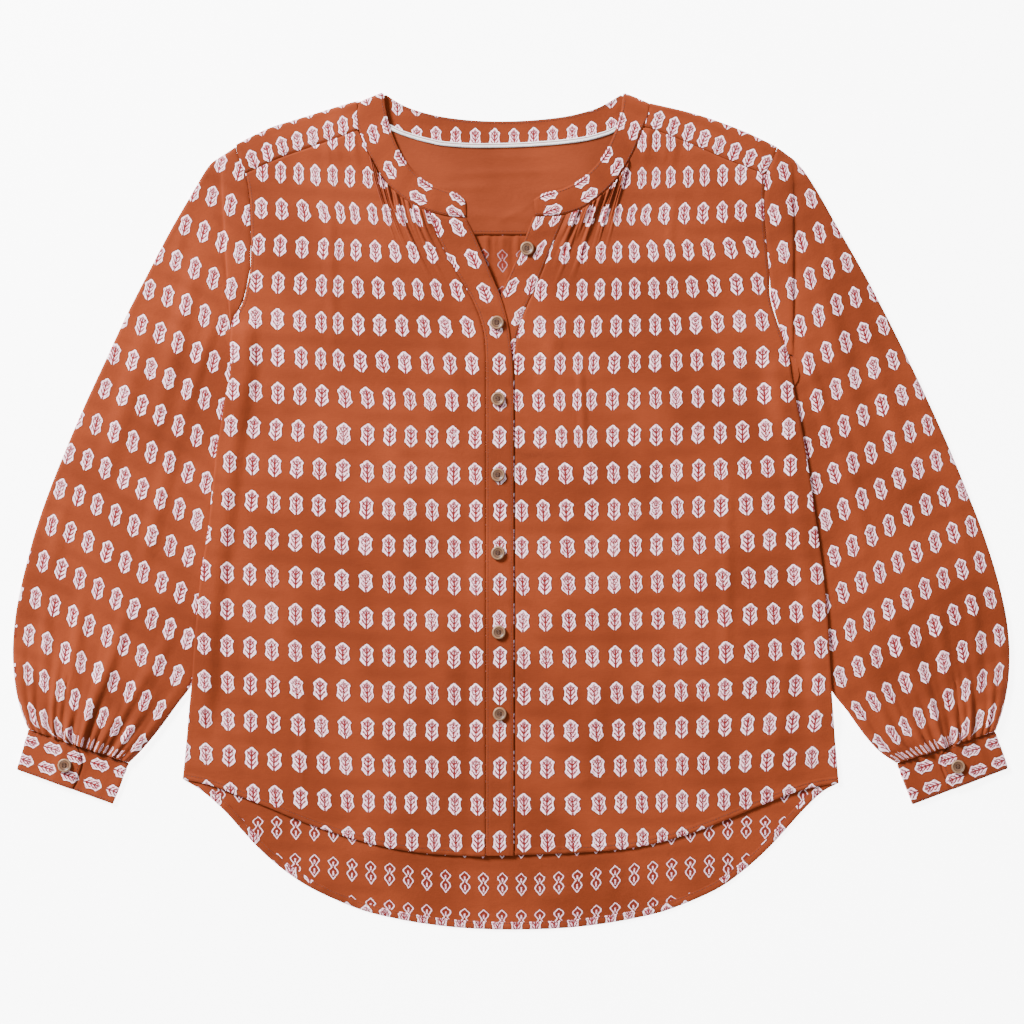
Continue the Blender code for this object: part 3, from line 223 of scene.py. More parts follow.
SLEEVE_FOLDS = {
    "right": [
        (-276, 250, -330, 40, 13, 1.5, 0), (-318, 196, -376, 0, 14, 1.35, 0),
        (-262, 186, -300, 70, 9, 1.2, 2), (-296, 92, -336, -70, 12, 1.35, 0),
        (-384, -64, -398, -188, 9, 1.5, 2.6), (-340, -70, -374, -186, 9, 1.35, 2),
        (-418, -60, -420, -176, 9, 1.35, 0), (-300, -96, -346, -190, 10, 1.35, 0),
        (-402, 20, -416, -64, 12, 1.2, 0), (-292, 286, -304, 214, 8, 0.9, 0),
        (-397, -140, -404.5, -197, 1.6, -1.35, 0),
    ],
    "left": [
        (268, 244, 322, 44, 13, 1.5, 0), (306, 204, 366, 4, 14, 1.35, 2.4),
        (258, 160, 292, 50, 9, 1.2, 2), (288, 100, 326, -66, 12, 1.35, 0),
        (380, -70, 396, -190, 9, 1.5, 2.6), (336, -74, 372, -190, 9, 1.35, 2),
        (414, -56, 419, -178, 9, 1.35, 0), (298, -100, 344, -192, 10, 1.35, 0),
        (398, 24, 412, -60, 12, 1.2, 0), (282, 282, 294, 206, 8, 0.9, 0),
        (397, -140, 404.5, -198, 1.6, -1.35, 0),
    ],
}


def property_number(text, default, low, high):
    return bpy.props.FloatProperty(name=text.split(":")[0], description=text.split(": ")[1],
                                   default=default, min=low, max=high)


def property_length(text, default, low, high):
    return bpy.props.FloatProperty(name=text.split(":")[0], description=text.split(": ")[1],
                                   default=default, min=low, max=high, unit="LENGTH",
                                   precision=5)


def property_colour(text, default):
    return bpy.props.FloatVectorProperty(name=text.split(":")[0], description=text.split(": ")[1],
                                         default=default, min=0.0, max=1.0, size=3,
                                         subtype="COLOR")


class BlouseCloth(bpy.types.PropertyGroup):
    """Sizes of the cloth, its gathers and its sewing."""

    wall: property_length("Cloth: thickness of one layer", 0.0008, 0.0003, 0.0012)
    hem: property_length("Front hem: width of the turned hem", 0.0054, 0.003, 0.012)
    back_hem: property_length("Back hem: width of the turned hem inside the back", 0.0070,
                              0.004, 0.015)
    seam_dip: property_length("Seam dip: how far an edge sinks into its seam", 0.0005, 0.0, 0.001)
    stitch: property_length("Stitch: length of one stitch", 0.0022, 0.001, 0.004)
    stitch_pitch: property_length("Stitch pitch: from one stitch to the next",
                                  0.0027, 0.0015, 0.006)
    thread: property_length("Thread: thickness of the sewing thread", 0.0005, 0.0002, 0.0008)
    gathers: property_number("Gathers: share of the full height of the gathers", 1.0, 0.0, 1.2)


class BlousePrint(bpy.types.PropertyGroup):
    """Pitch, size and colours of the leaf print."""

    across: property_length("Across: from one leaf to the next in a row", 0.0203, 0.012, 0.04)
    along: property_length("Along: from one row of leaves to the next", 0.0330, 0.02, 0.06)
    width: property_length("Leaf width: across the widest part", 0.0119, 0.006, 0.02)
    height: property_length("Leaf height: from roof to tip", 0.0202, 0.01, 0.03)
    ground: property_colour("Ground: colour of the dyed cloth", (0.192, 0.0300, 0.0064))
    leaf: property_colour("Leaf: palest colour of the print", (1.0, 0.83, 0.885))
    blush: property_colour("Blush: pink in the leaf", (0.90, 0.38, 0.50))
    vein: property_colour("Vein: colour of the veins", (0.16, 0.012, 0.013))
    lining: property_colour("Lining: colour of the plain yoke lining", (0.184, 0.0295, 0.0066))
    tape: property_colour("Tape: colour of the neck tape", (0.90, 0.87, 0.88))


class BlouseButton(bpy.types.PropertyGroup):
    """Sizes and colours of the horn buttons."""

    radius: property_length("Radius: of a button", 0.0062, 0.004, 0.010)
    thick: property_length("Thickness: of a button at its rim", 0.0026, 0.0015, 0.005)
    hole: property_length("Hole: radius of a sewing hole", 0.0008, 0.0005, 0.0015)
    hole_offset: property_length("Hole offset: from the middle to a hole", 0.00155, 0.001, 0.003)
    horn: property_colour("Horn: colour of the button", (0.150, 0.064, 0.028))
    rim: property_colour("Rim: paler colour of its rim", (0.225, 0.120, 0.060))
    well: property_colour("Well: dark colour round the holes", (0.040, 0.014, 0.007))


def ease(low, high, value):
    """0 below low, 1 above high, and a soft ramp between."""
    t = np.clip((np.asarray(value, float) - low) / (high - low), 0.0, 1.0)
    return t * t * (3.0 - 2.0 * t)


def curve(points):
    """A smooth line through the given points, close enough to join with straight steps."""
    knots = np.asarray(points, float)
    padded = np.vstack([2 * knots[0] - knots[1], knots, 2 * knots[-1] - knots[-2]])
    s = (np.arange(10) / 10)[:, None]
    parts = []
    for i in range(len(knots) - 1):
        a, b, c, d = padded[i:i + 4]
        parts.append(0.5 * (2 * b + (c - a) * s + (2 * a - 5 * b + 4 * c - d) * s ** 2
                            + (3 * b - a - 3 * c + d) * s ** 3))
    return np.vstack(parts + [knots[-1:]])


def at_shares(line, shares):
    """Points at these shares of the length of a line."""
    line = np.asarray(line, float)
    length = np.r_[0.0, np.cumsum(np.linalg.norm(np.diff(line, axis=0), axis=1))]
    wanted = np.asarray(shares, float) * length[-1]
    return np.stack([np.interp(wanted, length, line[:, k]) for k in range(line.shape[1])], axis=-1)


def length_of(line):
    return float(np.linalg.norm(np.diff(np.asarray(line, float), axis=0), axis=1).sum())


def x_at(points, y):
    rows = np.asarray(points, float)
    order = np.argsort(rows[:, 1])
    return np.interp(y, rows[order, 1], rows[order, 0])


def flank(side, y):
    """The x of armhole and side edge at this height."""
    return x_at(FLANK[side], y)


def normals_of(points, up):
    """Unit normals of a plan curve, on the side where they point along up."""
    run = np.gradient(np.asarray(points, float), axis=0)
    normal = np.column_stack([-run[:, 1], run[:, 0]])
    normal /= np.linalg.norm(normal, axis=1)[:, None]
    return normal * np.sign(normal @ np.asarray(up, float))[:, None]


def ridges(start, pitch, number, longest, height):
    """Uneven gathers: (position, half width, length, height) for each."""
    rows = []
    for i in range(number):
        place = start + pitch * (i + 0.22 * math.sin(2.3 * i + 0.7))
        long = longest * (0.66 + 0.34 * math.sin(1.9 * i + 1.1))
        half = pitch * (0.52 + 0.12 * math.sin(3.7 * i))
        rows.append((place, half, long, height * (0.74 + 0.30 * math.sin(2.9 * i))))
    return rows


def gather_lift(rows, along, away):
    """Height of the gathers at a distance along the gathered edge and away from it.

    Each is round on top with a narrow crease beside it, and spreads a little as it fades.
    """
    lift = np.zeros(np.broadcast(along, away).shape)
    for place, half, long, height in rows:
        wide = half * (1.0 + 0.25 * ease(0.0, long, away))
        near = np.clip(1.0 - np.abs(along - place) / wide, 0.0, 1.0)
        lift = np.maximum(lift, height * np.sqrt(near * (2 - near)) * near ** 0.35
                          * (1 - ease(0.05 * long, long, away)))
    return lift


def fold_lift(folds, x, y):
    """Height of the soft folds, and how far each moves the print across the cloth."""
    lift, moved = np.zeros(np.shape(x)), np.zeros(np.shape(x))
    for x0, y0, x1, y1, half, height, taken in folds:
        length = math.hypot(x1 - x0, y1 - y0)
        dx, dy = (x1 - x0) / length, (y1 - y0) / length
        along = ((x - x0) * dx + (y - y0) * dy) / length
        aside = (x - x0) * -dy + (y - y0) * dx
        fade = ease(0.0, 0.35, along) * (1 - ease(0.65, 1.0, along))
        near = np.clip(1.0 - np.abs(aside) / half, 0.0, 1.0)
        lift = lift + height * near * near * (3 - 2 * near) * fade
        moved = moved + taken * fade * (ease(-half, half, aside) - 0.5) * math.copysign(1.0, -dy)
    return lift, moved


def rise(x, y):
    """How far the body's sides are up on the sleeves: 0 on the floor, 1 over the sleeve."""
    share = 0.0
    for side, sign, under, out in (("right", 1.0, 173.5, -163.0), ("left", -1.0, 141.1, -168.0)):
        inset = (x - flank(side, y)) * sign
        held = (1 - ease(under - 18.0, under - 0.5, y)) * ease(out - 48.0, out, y)
        share = share + held * (1 - ease(*TUCK_BLEND, inset))
    return share


def front_level(x, y):
    """Underside of the solids' front layer: on the back, on the lining, or over the tape."""
    past = np.maximum(np.maximum(-139.0 - x, x - 125.0), 0.0)
    tips = ease(300.0, 334.0, y) * (1 - ease(0.0, 35.0, past))
    share = rise(x, y)
    side = RISE * share + 2.0 * share * (1 - share)
    return STEP + side + STEP * ease(186.0, 232.0, y) + STEP * tips


def overlap(x, y):
    """The right front climbs onto the left one's placket band, below the V."""
    seam = x_at(PLACKET_SEAM["right"] + [(-23.0, -320.0)], y)
    return STEP * (1 - ease(214.0, 247.0, y)) * ease(-20.0, 0.0, x - seam)


def soft_body(x, y):
    """Low waves of cloth that isn't pressed."""
    wave = np.sin(x / 41.0 + 0.5 * np.sin(y / 90.0)) * np.sin(y / 130.0 + 0.8)
    inner = ease(0.0, 40.0, x - flank("right", y)) * ease(0.0, 40.0, flank("left", y) - x)
    low = ease(-300.0, -200.0, y) * (1 - ease(120.0, 200.0, y))
    middle = ease(14.0, 60.0, np.abs(x + 10.0))
    return 0.35 * (1 + wave) * inner * low * middle


def edge_steps(length, fine, number):
    """Shares across a piece, with close steps at both edges for the dip into the seam."""
    rim = np.array([0.0, 0.5, 1.1, 1.9]) / length
    inside = np.linspace(rim[-1] + fine / length, 1 - rim[-1] - fine / length, number)
    return np.r_[rim, inside, 1 - rim[::-1]]


def seam_dip(sizes, distance):
    """How far the cloth sinks at this distance from a seam or a turned edge."""
    return -1000 * sizes.seam_dip * (1 - ease(0.0, 1.7, distance)) ** 2


def lay(flat, level):
    """Points from a plan of shape (rows, columns, 2) and a height for each."""
    return np.concatenate([flat, np.broadcast_to(level, flat.shape[:2])[..., None]], axis=-1)


def cloth_piece(name, outer, inner, uv, finish, wrap=False, inside=None):
    """A wall of cloth between two grids of points in table millimetres.

    wrap joins the last column to the first, and then uv has one column more. The outer face
    and the rim take the finish, and the inner face takes inside.
    """
    outer = np.dstack([outer[..., :2], np.maximum(outer[..., 2], 0.0)])  # on the table
    rows, columns = outer.shape[:2]
    count = rows * columns
    index = np.arange(count).reshape(rows, columns)
    across = columns if wrap else columns - 1
    r, c = np.meshgrid(np.arange(rows - 1), np.arange(across), indexing="ij")
    corners = [(r, c), (r, c + 1), (r + 1, c + 1), (r + 1, c)]
    faces = np.stack([index[a, b % columns] for a, b in corners], axis=-1).reshape(-1, 4)
    print_at = np.stack([uv[a, b] for a, b in corners], axis=-2).reshape(-1, 4, 2)
    if wrap:
        loops = [[(0, k) for k in range(columns + 1)],
                 [(rows - 1, k) for k in range(columns, -1, -1)]]
    else:
        loops = [[(0, k) for k in range(columns)] + [(k, columns - 1) for k in range(1, rows)]
                 + [(rows - 1, k) for k in range(columns - 2, -1, -1)]
                 + [(k, 0) for k in range(rows - 2, -1, -1)]]
    sides, side_at = [], []
    for loop in loops:
        for (a, b), (d, e) in zip(loop, loop[1:]):
            first, second = index[a, b % columns], index[d, e % columns]
            sides.append((second, first, first + count, second + count))
            side_at.append((uv[d, e], uv[a, b], uv[a, b], uv[d, e]))
    points = np.vstack([outer.reshape(-1, 3), inner.reshape(-1, 3)])
    quads = np.vstack([faces, faces[:, ::-1] + count, np.array(sides)])
    where = np.concatenate([print_at, print_at[:, ::-1], np.array(side_at)])
    a, b, d, e = (points[quads[:, k]] for k in range(4))
    volume = sum(np.einsum("ij,ij->", a, np.cross(*pair)) for pair in ((b, d), (d, e)))
    if volume < 0:
        quads, where = quads[:, ::-1], where[:, ::-1]
    mesh = bpy.data.meshes.new(name)
    mesh.from_pydata(((points + PLACE) * MM).tolist(), [], quads.tolist())
    layer = mesh.uv_layers.new(name="cut")
    layer.data.foreach_set("uv", (where * MM).ravel())
    mesh.materials.append(finish)
    mesh.materials.append(inside or finish)
    slots = np.zeros(len(quads), np.int32)
    slots[len(faces):2 * len(faces)] = 1
    mesh.polygons.foreach_set("material_index", slots)
    mesh.polygons.foreach_set("use_smooth", np.ones(len(quads), bool))
    mesh.set_sharp_from_angle(angle=math.radians(55))
    mesh.validate()
    obj = bpy.data.objects.new(name, mesh)
    bpy.context.scene.collection.objects.link(obj)
    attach(obj, "root")
    return obj


def top_piece(name, flat, level, uv, finish, sizes, inside=None):
    """A piece whose outer face is on top, at the top of its solid."""
    outer = lay(flat, level + SOLID_CLOTH)
    return cloth_piece(name, outer, outer - (0.0, 0.0, 1000 * sizes.wall), uv, finish,
                       inside=inside)


FLANK = {side: curve(ARMHOLE[side] + SIDE[side][1:]) for side in ("right", "left")}
_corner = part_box("placket_right")[0]
PLACE = np.array([_corner.x / MM + 72.5, _corner.y / MM + 309.5, 0.0])
SLEEVE_GRAIN = {  # one step along a row of leaves and one up a column, on the right sleeve
    "across": (16.5, -9.2), "along": (7.8, 32.9), "leaf": (-379.4, -102.4)}
# Height of a row and the x of each leaf column there, for the two fronts.
LEAF_COLUMNS = {
    "right": [
        (296.3, -223.7, -207.5, -191.2, -176, -160.7, -145.3, -129.2, -114.8, -102.2, -89.5, -77),
        (264.8, -224.6, -206.6, -185.8, -167, -152.6, -140.8, -123.8, -112, -99.5, -86, -73.4),
        (231.5, -228.2, -208.3, -188.6, -168.8, -155.2, -140, -122, -104, -87.8, -71.5, -53.6),
        (199.1, -230, -210.2, -190.3, -170.6, -156.2, -138.2, -120.2, -100.4, -84.2, -68, -50),
        (165.8, -230, -210.2, -190.3, -170.6, -156.2, -138.2, -118.4, -98.5, -78.8, -59, -39.1),
        (133.4, -229.1, -210.2, -188.6, -171.5, -156.2, -136.3, -116.5, -95.9, -76, -55.4, -35.6),
        (101, -230, -210.2, -190.3, -170.6, -149, -129.2, -109.4, -91.4, -73.4, -53.6, -33.8),
        (67.7, -231.8, -212, -192.2, -172.3, -150.8, -129.2, -109.4, -90.5, -71.5, -52.6, -32.9),
        (-29.5, -235.3, -215.6, -194, -174.2, -152.6, -131, -110.2, -91.4, -71.5, -51.8, -31.9),
        (-127.6, -235.3, -215.6, -194, -174.2, -151.7, -130.1, -110.2, -91.4, -71.5, -51.8,
         -31.9),
        (-226.6, -233.6, -213.8, -190.3, -168.8, -149, -129.2, -110.2, -91.4, -71.5, -51.8,
         -31.9),
        (-294.1, -230, -210.2, -188.6, -167, -146.2, -127.4, -108.5, -89.5, -69.8, -50, -30.2),
    ],
    "left": [
        (296.3, 39.1, 52.6, 65.2, 77.9, 90.5, 103, 117.5, 130.1, 142.7, 158.8, 173.2, 189.5,
         205.7),
        (264.8, 28.4, 41.9, 56.2, 70.7, 83.2, 95, 106.7, 119.2, 136.3, 154.3, 171.5, 189.5,
         204.8),
        (231.5, 14.8, 31.1, 47.2, 63.5, 80.5, 95, 110.2, 128.2, 142.7, 158.8, 176.8, 197.6,
         217.3),
        (199.1, 7.7, 25.7, 46.4, 63.5, 79.7, 94, 110.2, 128.2, 144.5, 162.5, 182.2, 203, 221.8),
        (165.8, 5.9, 25.7, 43.6, 60.8, 76, 94, 111.2, 129.2, 147.2, 166.1, 185, 205.7, 225.5),
        (133.4, 5.9, 25.7, 43.6, 59.9, 73.4, 92.2, 110.2, 129.2, 148.1, 166.1, 185.8, 205.7,
         225.5),
        (101, 5, 23.9, 43.6, 59, 70.7, 90.5, 110.2, 129.2, 148.1, 167.8, 185.8, 204.8, 227.2),
        (67.7, 6.5, 25.7, 45.5, 60.6, 71.5, 90.9, 110.2, 130.1, 148.1, 167.8, 187.7, 207.5,
         229.1),
        (52, 6.5, 25.7, 45.5, 60.6, 71.5, 90.9, 110.2, 130.1, 148.2, 167.8, 188, 208, 229.4),
        (50, -12.6, 7.0, 26.9, 47.8, 71.4, 91.1, 110.2, 130.1, 148.3, 167.8, 188, 209, 229.8),
        (3.8, -11.5, 8.8, 28.4, 49, 72.4, 92, 111, 130.1, 149, 167.8, 187.7, 211.1, 230.8),
        (-65, -10.5, 9.9, 29.7, 50.9, 72.9, 92.5, 111.6, 131, 150.2, 169.6, 190, 213.8, 234),
        (-127.6, -9.5, 11.2, 31.1, 51.8, 72.5, 93.2, 112, 131.8, 151.7, 171.5, 192.2, 216.5,
         237.2),
        (-226.6, -9.5, 11.2, 31.9, 54.5, 77.9, 97.7, 115.7, 134.6, 153.5, 172.3, 191.2, 210.2,
         229.1),
        (-294.1, -9.5, 11.2, 31.9, 55.4, 79.7, 99.5, 118.4, 135.5, 153.5, 171.5, 190.3, 210.2,
         230),
    ],
}
LINING_FOLDS = [
    (-72.0, 303.0, 58.0, 306.0, 5.0, 0.5, 0.0), (-90.0, 289.0, -6.0, 292.0, 6.0, 0.5, 0.0),
    (6.0, 286.0, 78.0, 294.0, 5.0, 0.4, 0.0), (-60.0, 268.0, 40.0, 264.0, 7.0, 0.5, 0.0),
    (-40.0, 318.0, 50.0, 320.0, 4.0, 0.35, 0.0), (-20.0, 255.0, 20.0, 278.0, 5.0, 0.35, 0.0),
]


def front_gathers(side, sizes):
    """The front's top edge, its two ends below, and the ridges along the top."""
    sign = -1.0 if side == "right" else 1.0
    shoulder = curve(SHOULDER_SEAM[side]) - (0.0, GAP)
    end = PLACKET_SEAM[side][0]
    corner = (end[0] + sign * (GAP + 0.1), end[1] + (1.0 if side == "right" else 0.4))
    neck = curve([tuple(shoulder[-1])] + NECK_SEAM[side][3:8] + [corner])
    long_shoulder = length_of(shoulder)
    total = long_shoulder + length_of(neck)
    pitch, number, longest, height = NECK_GATHERS[1:]
    start = total - 3.0 - pitch * (number - 0.5)
    rows = ridges(start, pitch, number, longest, height * sizes.gathers)
    pitch, number, longest, height = SHOULDER_GATHERS[1:]
    first = long_shoulder - 4.0 - pitch * (number - 0.5)
    rows += ridges(first, pitch, number, longest, height * sizes.gathers)
    return np.vstack([shoulder, neck[1:]]), rows, total, start


def patch(upper, lower, first, last, u, v):
    """Rows between two edges, pulled to their points on the two sides: (rows, columns, 2)."""
    u, v = u[None, :, None], v[:, None, None]
    rows = (1 - v) * upper[None] + v * lower[None]
    return rows + (1 - u) * (first[:, None] - rows[:, :1]) + u * (last[:, None] - rows[:, -1:])


def print_column(side, x, y):
    """Number of the leaf column at this place, by where the columns stand on the front."""
    table = LEAF_COLUMNS[side]
    heights = np.array([row[0] for row in table])[::-1]
    lines = [np.interp(y, heights, [row[1 + k] for row in table][::-1])
             for k in range(len(table[0]) - 1)]
    column = (x - lines[0]) / LEAF_PITCH
    for k in range(len(lines) - 1):
        share = (x - lines[k]) / (lines[k + 1] - lines[k])
        column = np.where(share > 0.0, k + np.clip(share, 0.0, 1.0), column)
    return column + np.maximum(x - lines[-1], 0.0) / LEAF_PITCH


def front_print(side, x, y, moved, ripple):
    """Where the print lies on the flat cut, with more cloth where the front is gathered."""
    inward = 1.0 if side == "right" else -1.0
    sag = (9.4 if side == "right" else 6.0) * ((x + 11.0) / 230.0) ** 2
    column = print_column(side, x + moved + inward * ripple, y)
    return np.stack([LEAF_PITCH * column, y + 65.5 - sag], axis=-1)


def hem_lift(depth, along, width):
    """A turned and stitched hem: thicker, with a groove along its sewing and small puckers."""
    thick = 0.4 * (1 - ease(width - 0.5, width + 0.5, depth))
    groove = -0.35 * np.exp(-((depth - width + 1.1) / 0.6) ** 2)
    pucker = 0.16 * np.sin(along / 1.9 + 1.3 * np.sin(along / 7.0)) * (1 - ease(2.0, 11.0, depth))
    return thick + groove + pucker


def make_front(side, sizes, finish, inside):
    """A front panel, gathered at neck and shoulder, from its side seam to its band."""
    top, rows, total, start = front_gathers(side, sizes)
    sign = -1.0 if side == "right" else 1.0
    height = 545.0
    u = np.r_[0.0, 0.5, 1.1, 1.9, np.arange(4.2, start - 6.0, 2.6),
              np.arange(start - 5.0, total - 2.4, 0.8),
              total - np.array([1.9, 1.1, 0.5, 0.0])] / total
    hem = 1000 * sizes.hem
    v = np.r_[0.0, 0.5, 1.1, 1.9, np.arange(3.4, 72.0, 2.2), np.arange(75.0, height - 13.0, 4.2),
              height - np.r_[11.0, 9.4, 8.0, hem + 1.4, hem + 0.6, hem, hem - 0.7, hem - 1.5,
                             2.6, 1.7, 1.0, 0.4, 0.0]] / height
    foot_x = PLACKET_SEAM[side][-1][0] + sign * GAP
    hem_line = curve(FRONT_HEM)
    side_x = flank(side, SIDE[side][-1][1])
    xs = side_x + (foot_x - side_x) * u
    lower = np.column_stack([xs, np.interp(xs, hem_line[:, 0], hem_line[:, 1])])
    upper = at_shares(top, u)
    y_side = SHOULDER_SEAM[side][0][1] + (SIDE[side][-1][1] - SHOULDER_SEAM[side][0][1]) * v
    y_centre = upper[-1, 1] + (lower[-1, 1] - upper[-1, 1]) * v
    first = np.column_stack([flank(side, y_side), y_side])
    first[0] = upper[0]
    seam = curve(PLACKET_SEAM[side] + [(PLACKET_SEAM[side][-1][0], -320.0)])
    last = np.column_stack([x_at(seam, y_centre) + sign * GAP, y_centre])
    last[0] = upper[-1]
    flat = patch(upper, lower, first, last, u, v)
    x, y = flat[..., 0], flat[..., 1]
    width = np.linalg.norm(flat[:, -1] - flat[:, 0], axis=1)[:, None]
    along, away = (u * total)[None], (v * height)[:, None]
    lift, moved = fold_lift(FRONT_FOLDS[side], x, y)
    from_hem = (1 - v)[:, None] * height * np.ones_like(x)
    level = front_level(x, y) + soft_body(x, y) + gather_lift(rows, along, away)
    level = level + lift * ease(0.0, 12.0, from_hem) + hem_lift(from_hem, x, hem)
    for distance in (away, u[None] * width, (1 - u)[None] * width, from_hem):
        level = level + seam_dip(sizes, distance)
    if side == "right":
        level = level + overlap(x, y)
    ripple = 1.3 * np.sin((along - start) * math.tau / NECK_GATHERS[1])
    ripple = ripple * (1 - ease(10.0, 58.0, away)) * ease(start - 8.0, start + 4.0, along)
    uv = front_print(side, x, y, moved, ripple)
    front = top_piece("cloth_front_" + side, flat, level, uv, finish, sizes, inside)
    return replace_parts(front, "front_" + side)


def back_print(x, y, moved):
    """Where the print lies on the back's flat cut. Its rows curve up towards the sides."""
    return np.stack([x + moved + 143.6, y + 335.5 - 18.0 * ease(10.0, 215.0, np.abs(x))], axis=-1)


def back_height(x, y, v, gathers):
    """Height of the back's underside, and how far its folds move the print."""
    lift, moved = fold_lift(BACK_FOLDS, x, y)
    below_yoke = v * 492.0
    gathered = gather_lift(gathers, x, below_yoke) * ease(-1.0, 4.0, below_yoke)
    return RISE * rise(x, y) + gathered + lift, moved


def make_back(sizes, finish, inside):
    """The back, whose print faces the surface, with its turned hem seen from inside."""
    length = 626.2
    first_x, last_x = float(flank("right", YOKE_SEAM_Y)), float(flank("left", YOKE_SEAM_Y))
    width = last_x - first_x
    gathers = ridges(*BACK_GATHERS[:4], BACK_GATHERS[4] * sizes.gathers)
    u = np.r_[0.0, 0.6, 1.8, np.arange(5.0, 156.0, 3.4), np.arange(157.0, 318.0, 1.9),
              np.arange(320.0, width - 3.0, 3.4), width - np.array([1.8, 0.6, 0.0])] / width
    v = np.r_[0.0, 0.5, 1.1, 1.9, np.arange(4.0, 60.0, 2.5), np.arange(63.0, 474.0, 7.0),
              np.arange(477.0, 617.0, 3.2), length - np.array([7.6, 5.0, 2.4, 1.0, 0.0])] / length
    upper = np.column_stack([first_x + width * u, np.full(len(u), YOKE_SEAM_Y)])
    lower = at_shares(curve(BACK_HEM), u)
    sides = []
    for side in ("right", "left"):
        y = YOKE_SEAM_Y + (SIDE[side][-1][1] - YOKE_SEAM_Y) * v
        foot, top, out = (112.0, 146.0, 7.0) if side == "left" else (146.0, 178.0, -5.0)
        spare = out * ease(foot, foot + 8.0, y) * (1 - ease(top - 7.0, top, y))
        sides.append(np.column_stack([flank(side, y) + spare, y]))
    flat = patch(upper, lower, sides[0], sides[1], u, v)
    x, y = flat[..., 0], flat[..., 1]
    level, moved = back_height(x, y, v[:, None], gathers)
    outer = lay(flat, level)
    dips = sum(seam_dip(sizes, d) for d in (v[:, None] * length, (1 - v)[:, None] * length))
    inner = outer + (0.0, 0.0, 1.0) * (1000 * sizes.wall + 0.6 * dips * np.ones_like(x))[..., None]
    back = cloth_piece("cloth_back", outer, inner, back_print(x, y, moved), finish, inside=inside)
    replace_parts(back, "back")
    hem = 1000 * sizes.back_hem
    edge = at_shares(curve(BACK_HEM), np.linspace(0.004, 0.996, 420))
    normal = normals_of(edge, (0.0, 1.0))
    depth = np.r_[0.15, 0.6, 1.3, 2.6, 4.0, hem - 2.0, hem - 1.2, hem - 0.6, hem]
    flat = edge[:, None] + normal[:, None] * depth[None, :, None]
    x, y = flat[..., 0], flat[..., 1]
    level, moved = back_height(x, y, np.ones(1), gathers)
    along = np.linspace(0.0, length_of(edge), len(edge))[:, None]
    edges = 0.9 * (seam_dip(sizes, depth - 0.15) + seam_dip(sizes, hem - depth))
    groove = -0.3 * np.exp(-((depth - hem + 1.3) / 0.6) ** 2)
    pucker = 0.12 * np.sin(along / 2.1 + np.sin(along / 6.0))
    high = level + 1000 * sizes.wall + 0.75 + (edges + groove)[None] + pucker
    outer = lay(flat, high)
    inner = lay(flat, level + 1000 * sizes.wall + 0.05)
    uv = back_print(x, y, moved) + (4.0, 6.0)
    hem_turn = cloth_piece("cloth_back_hem", outer, inner, uv, finish)
    return back, hem_turn


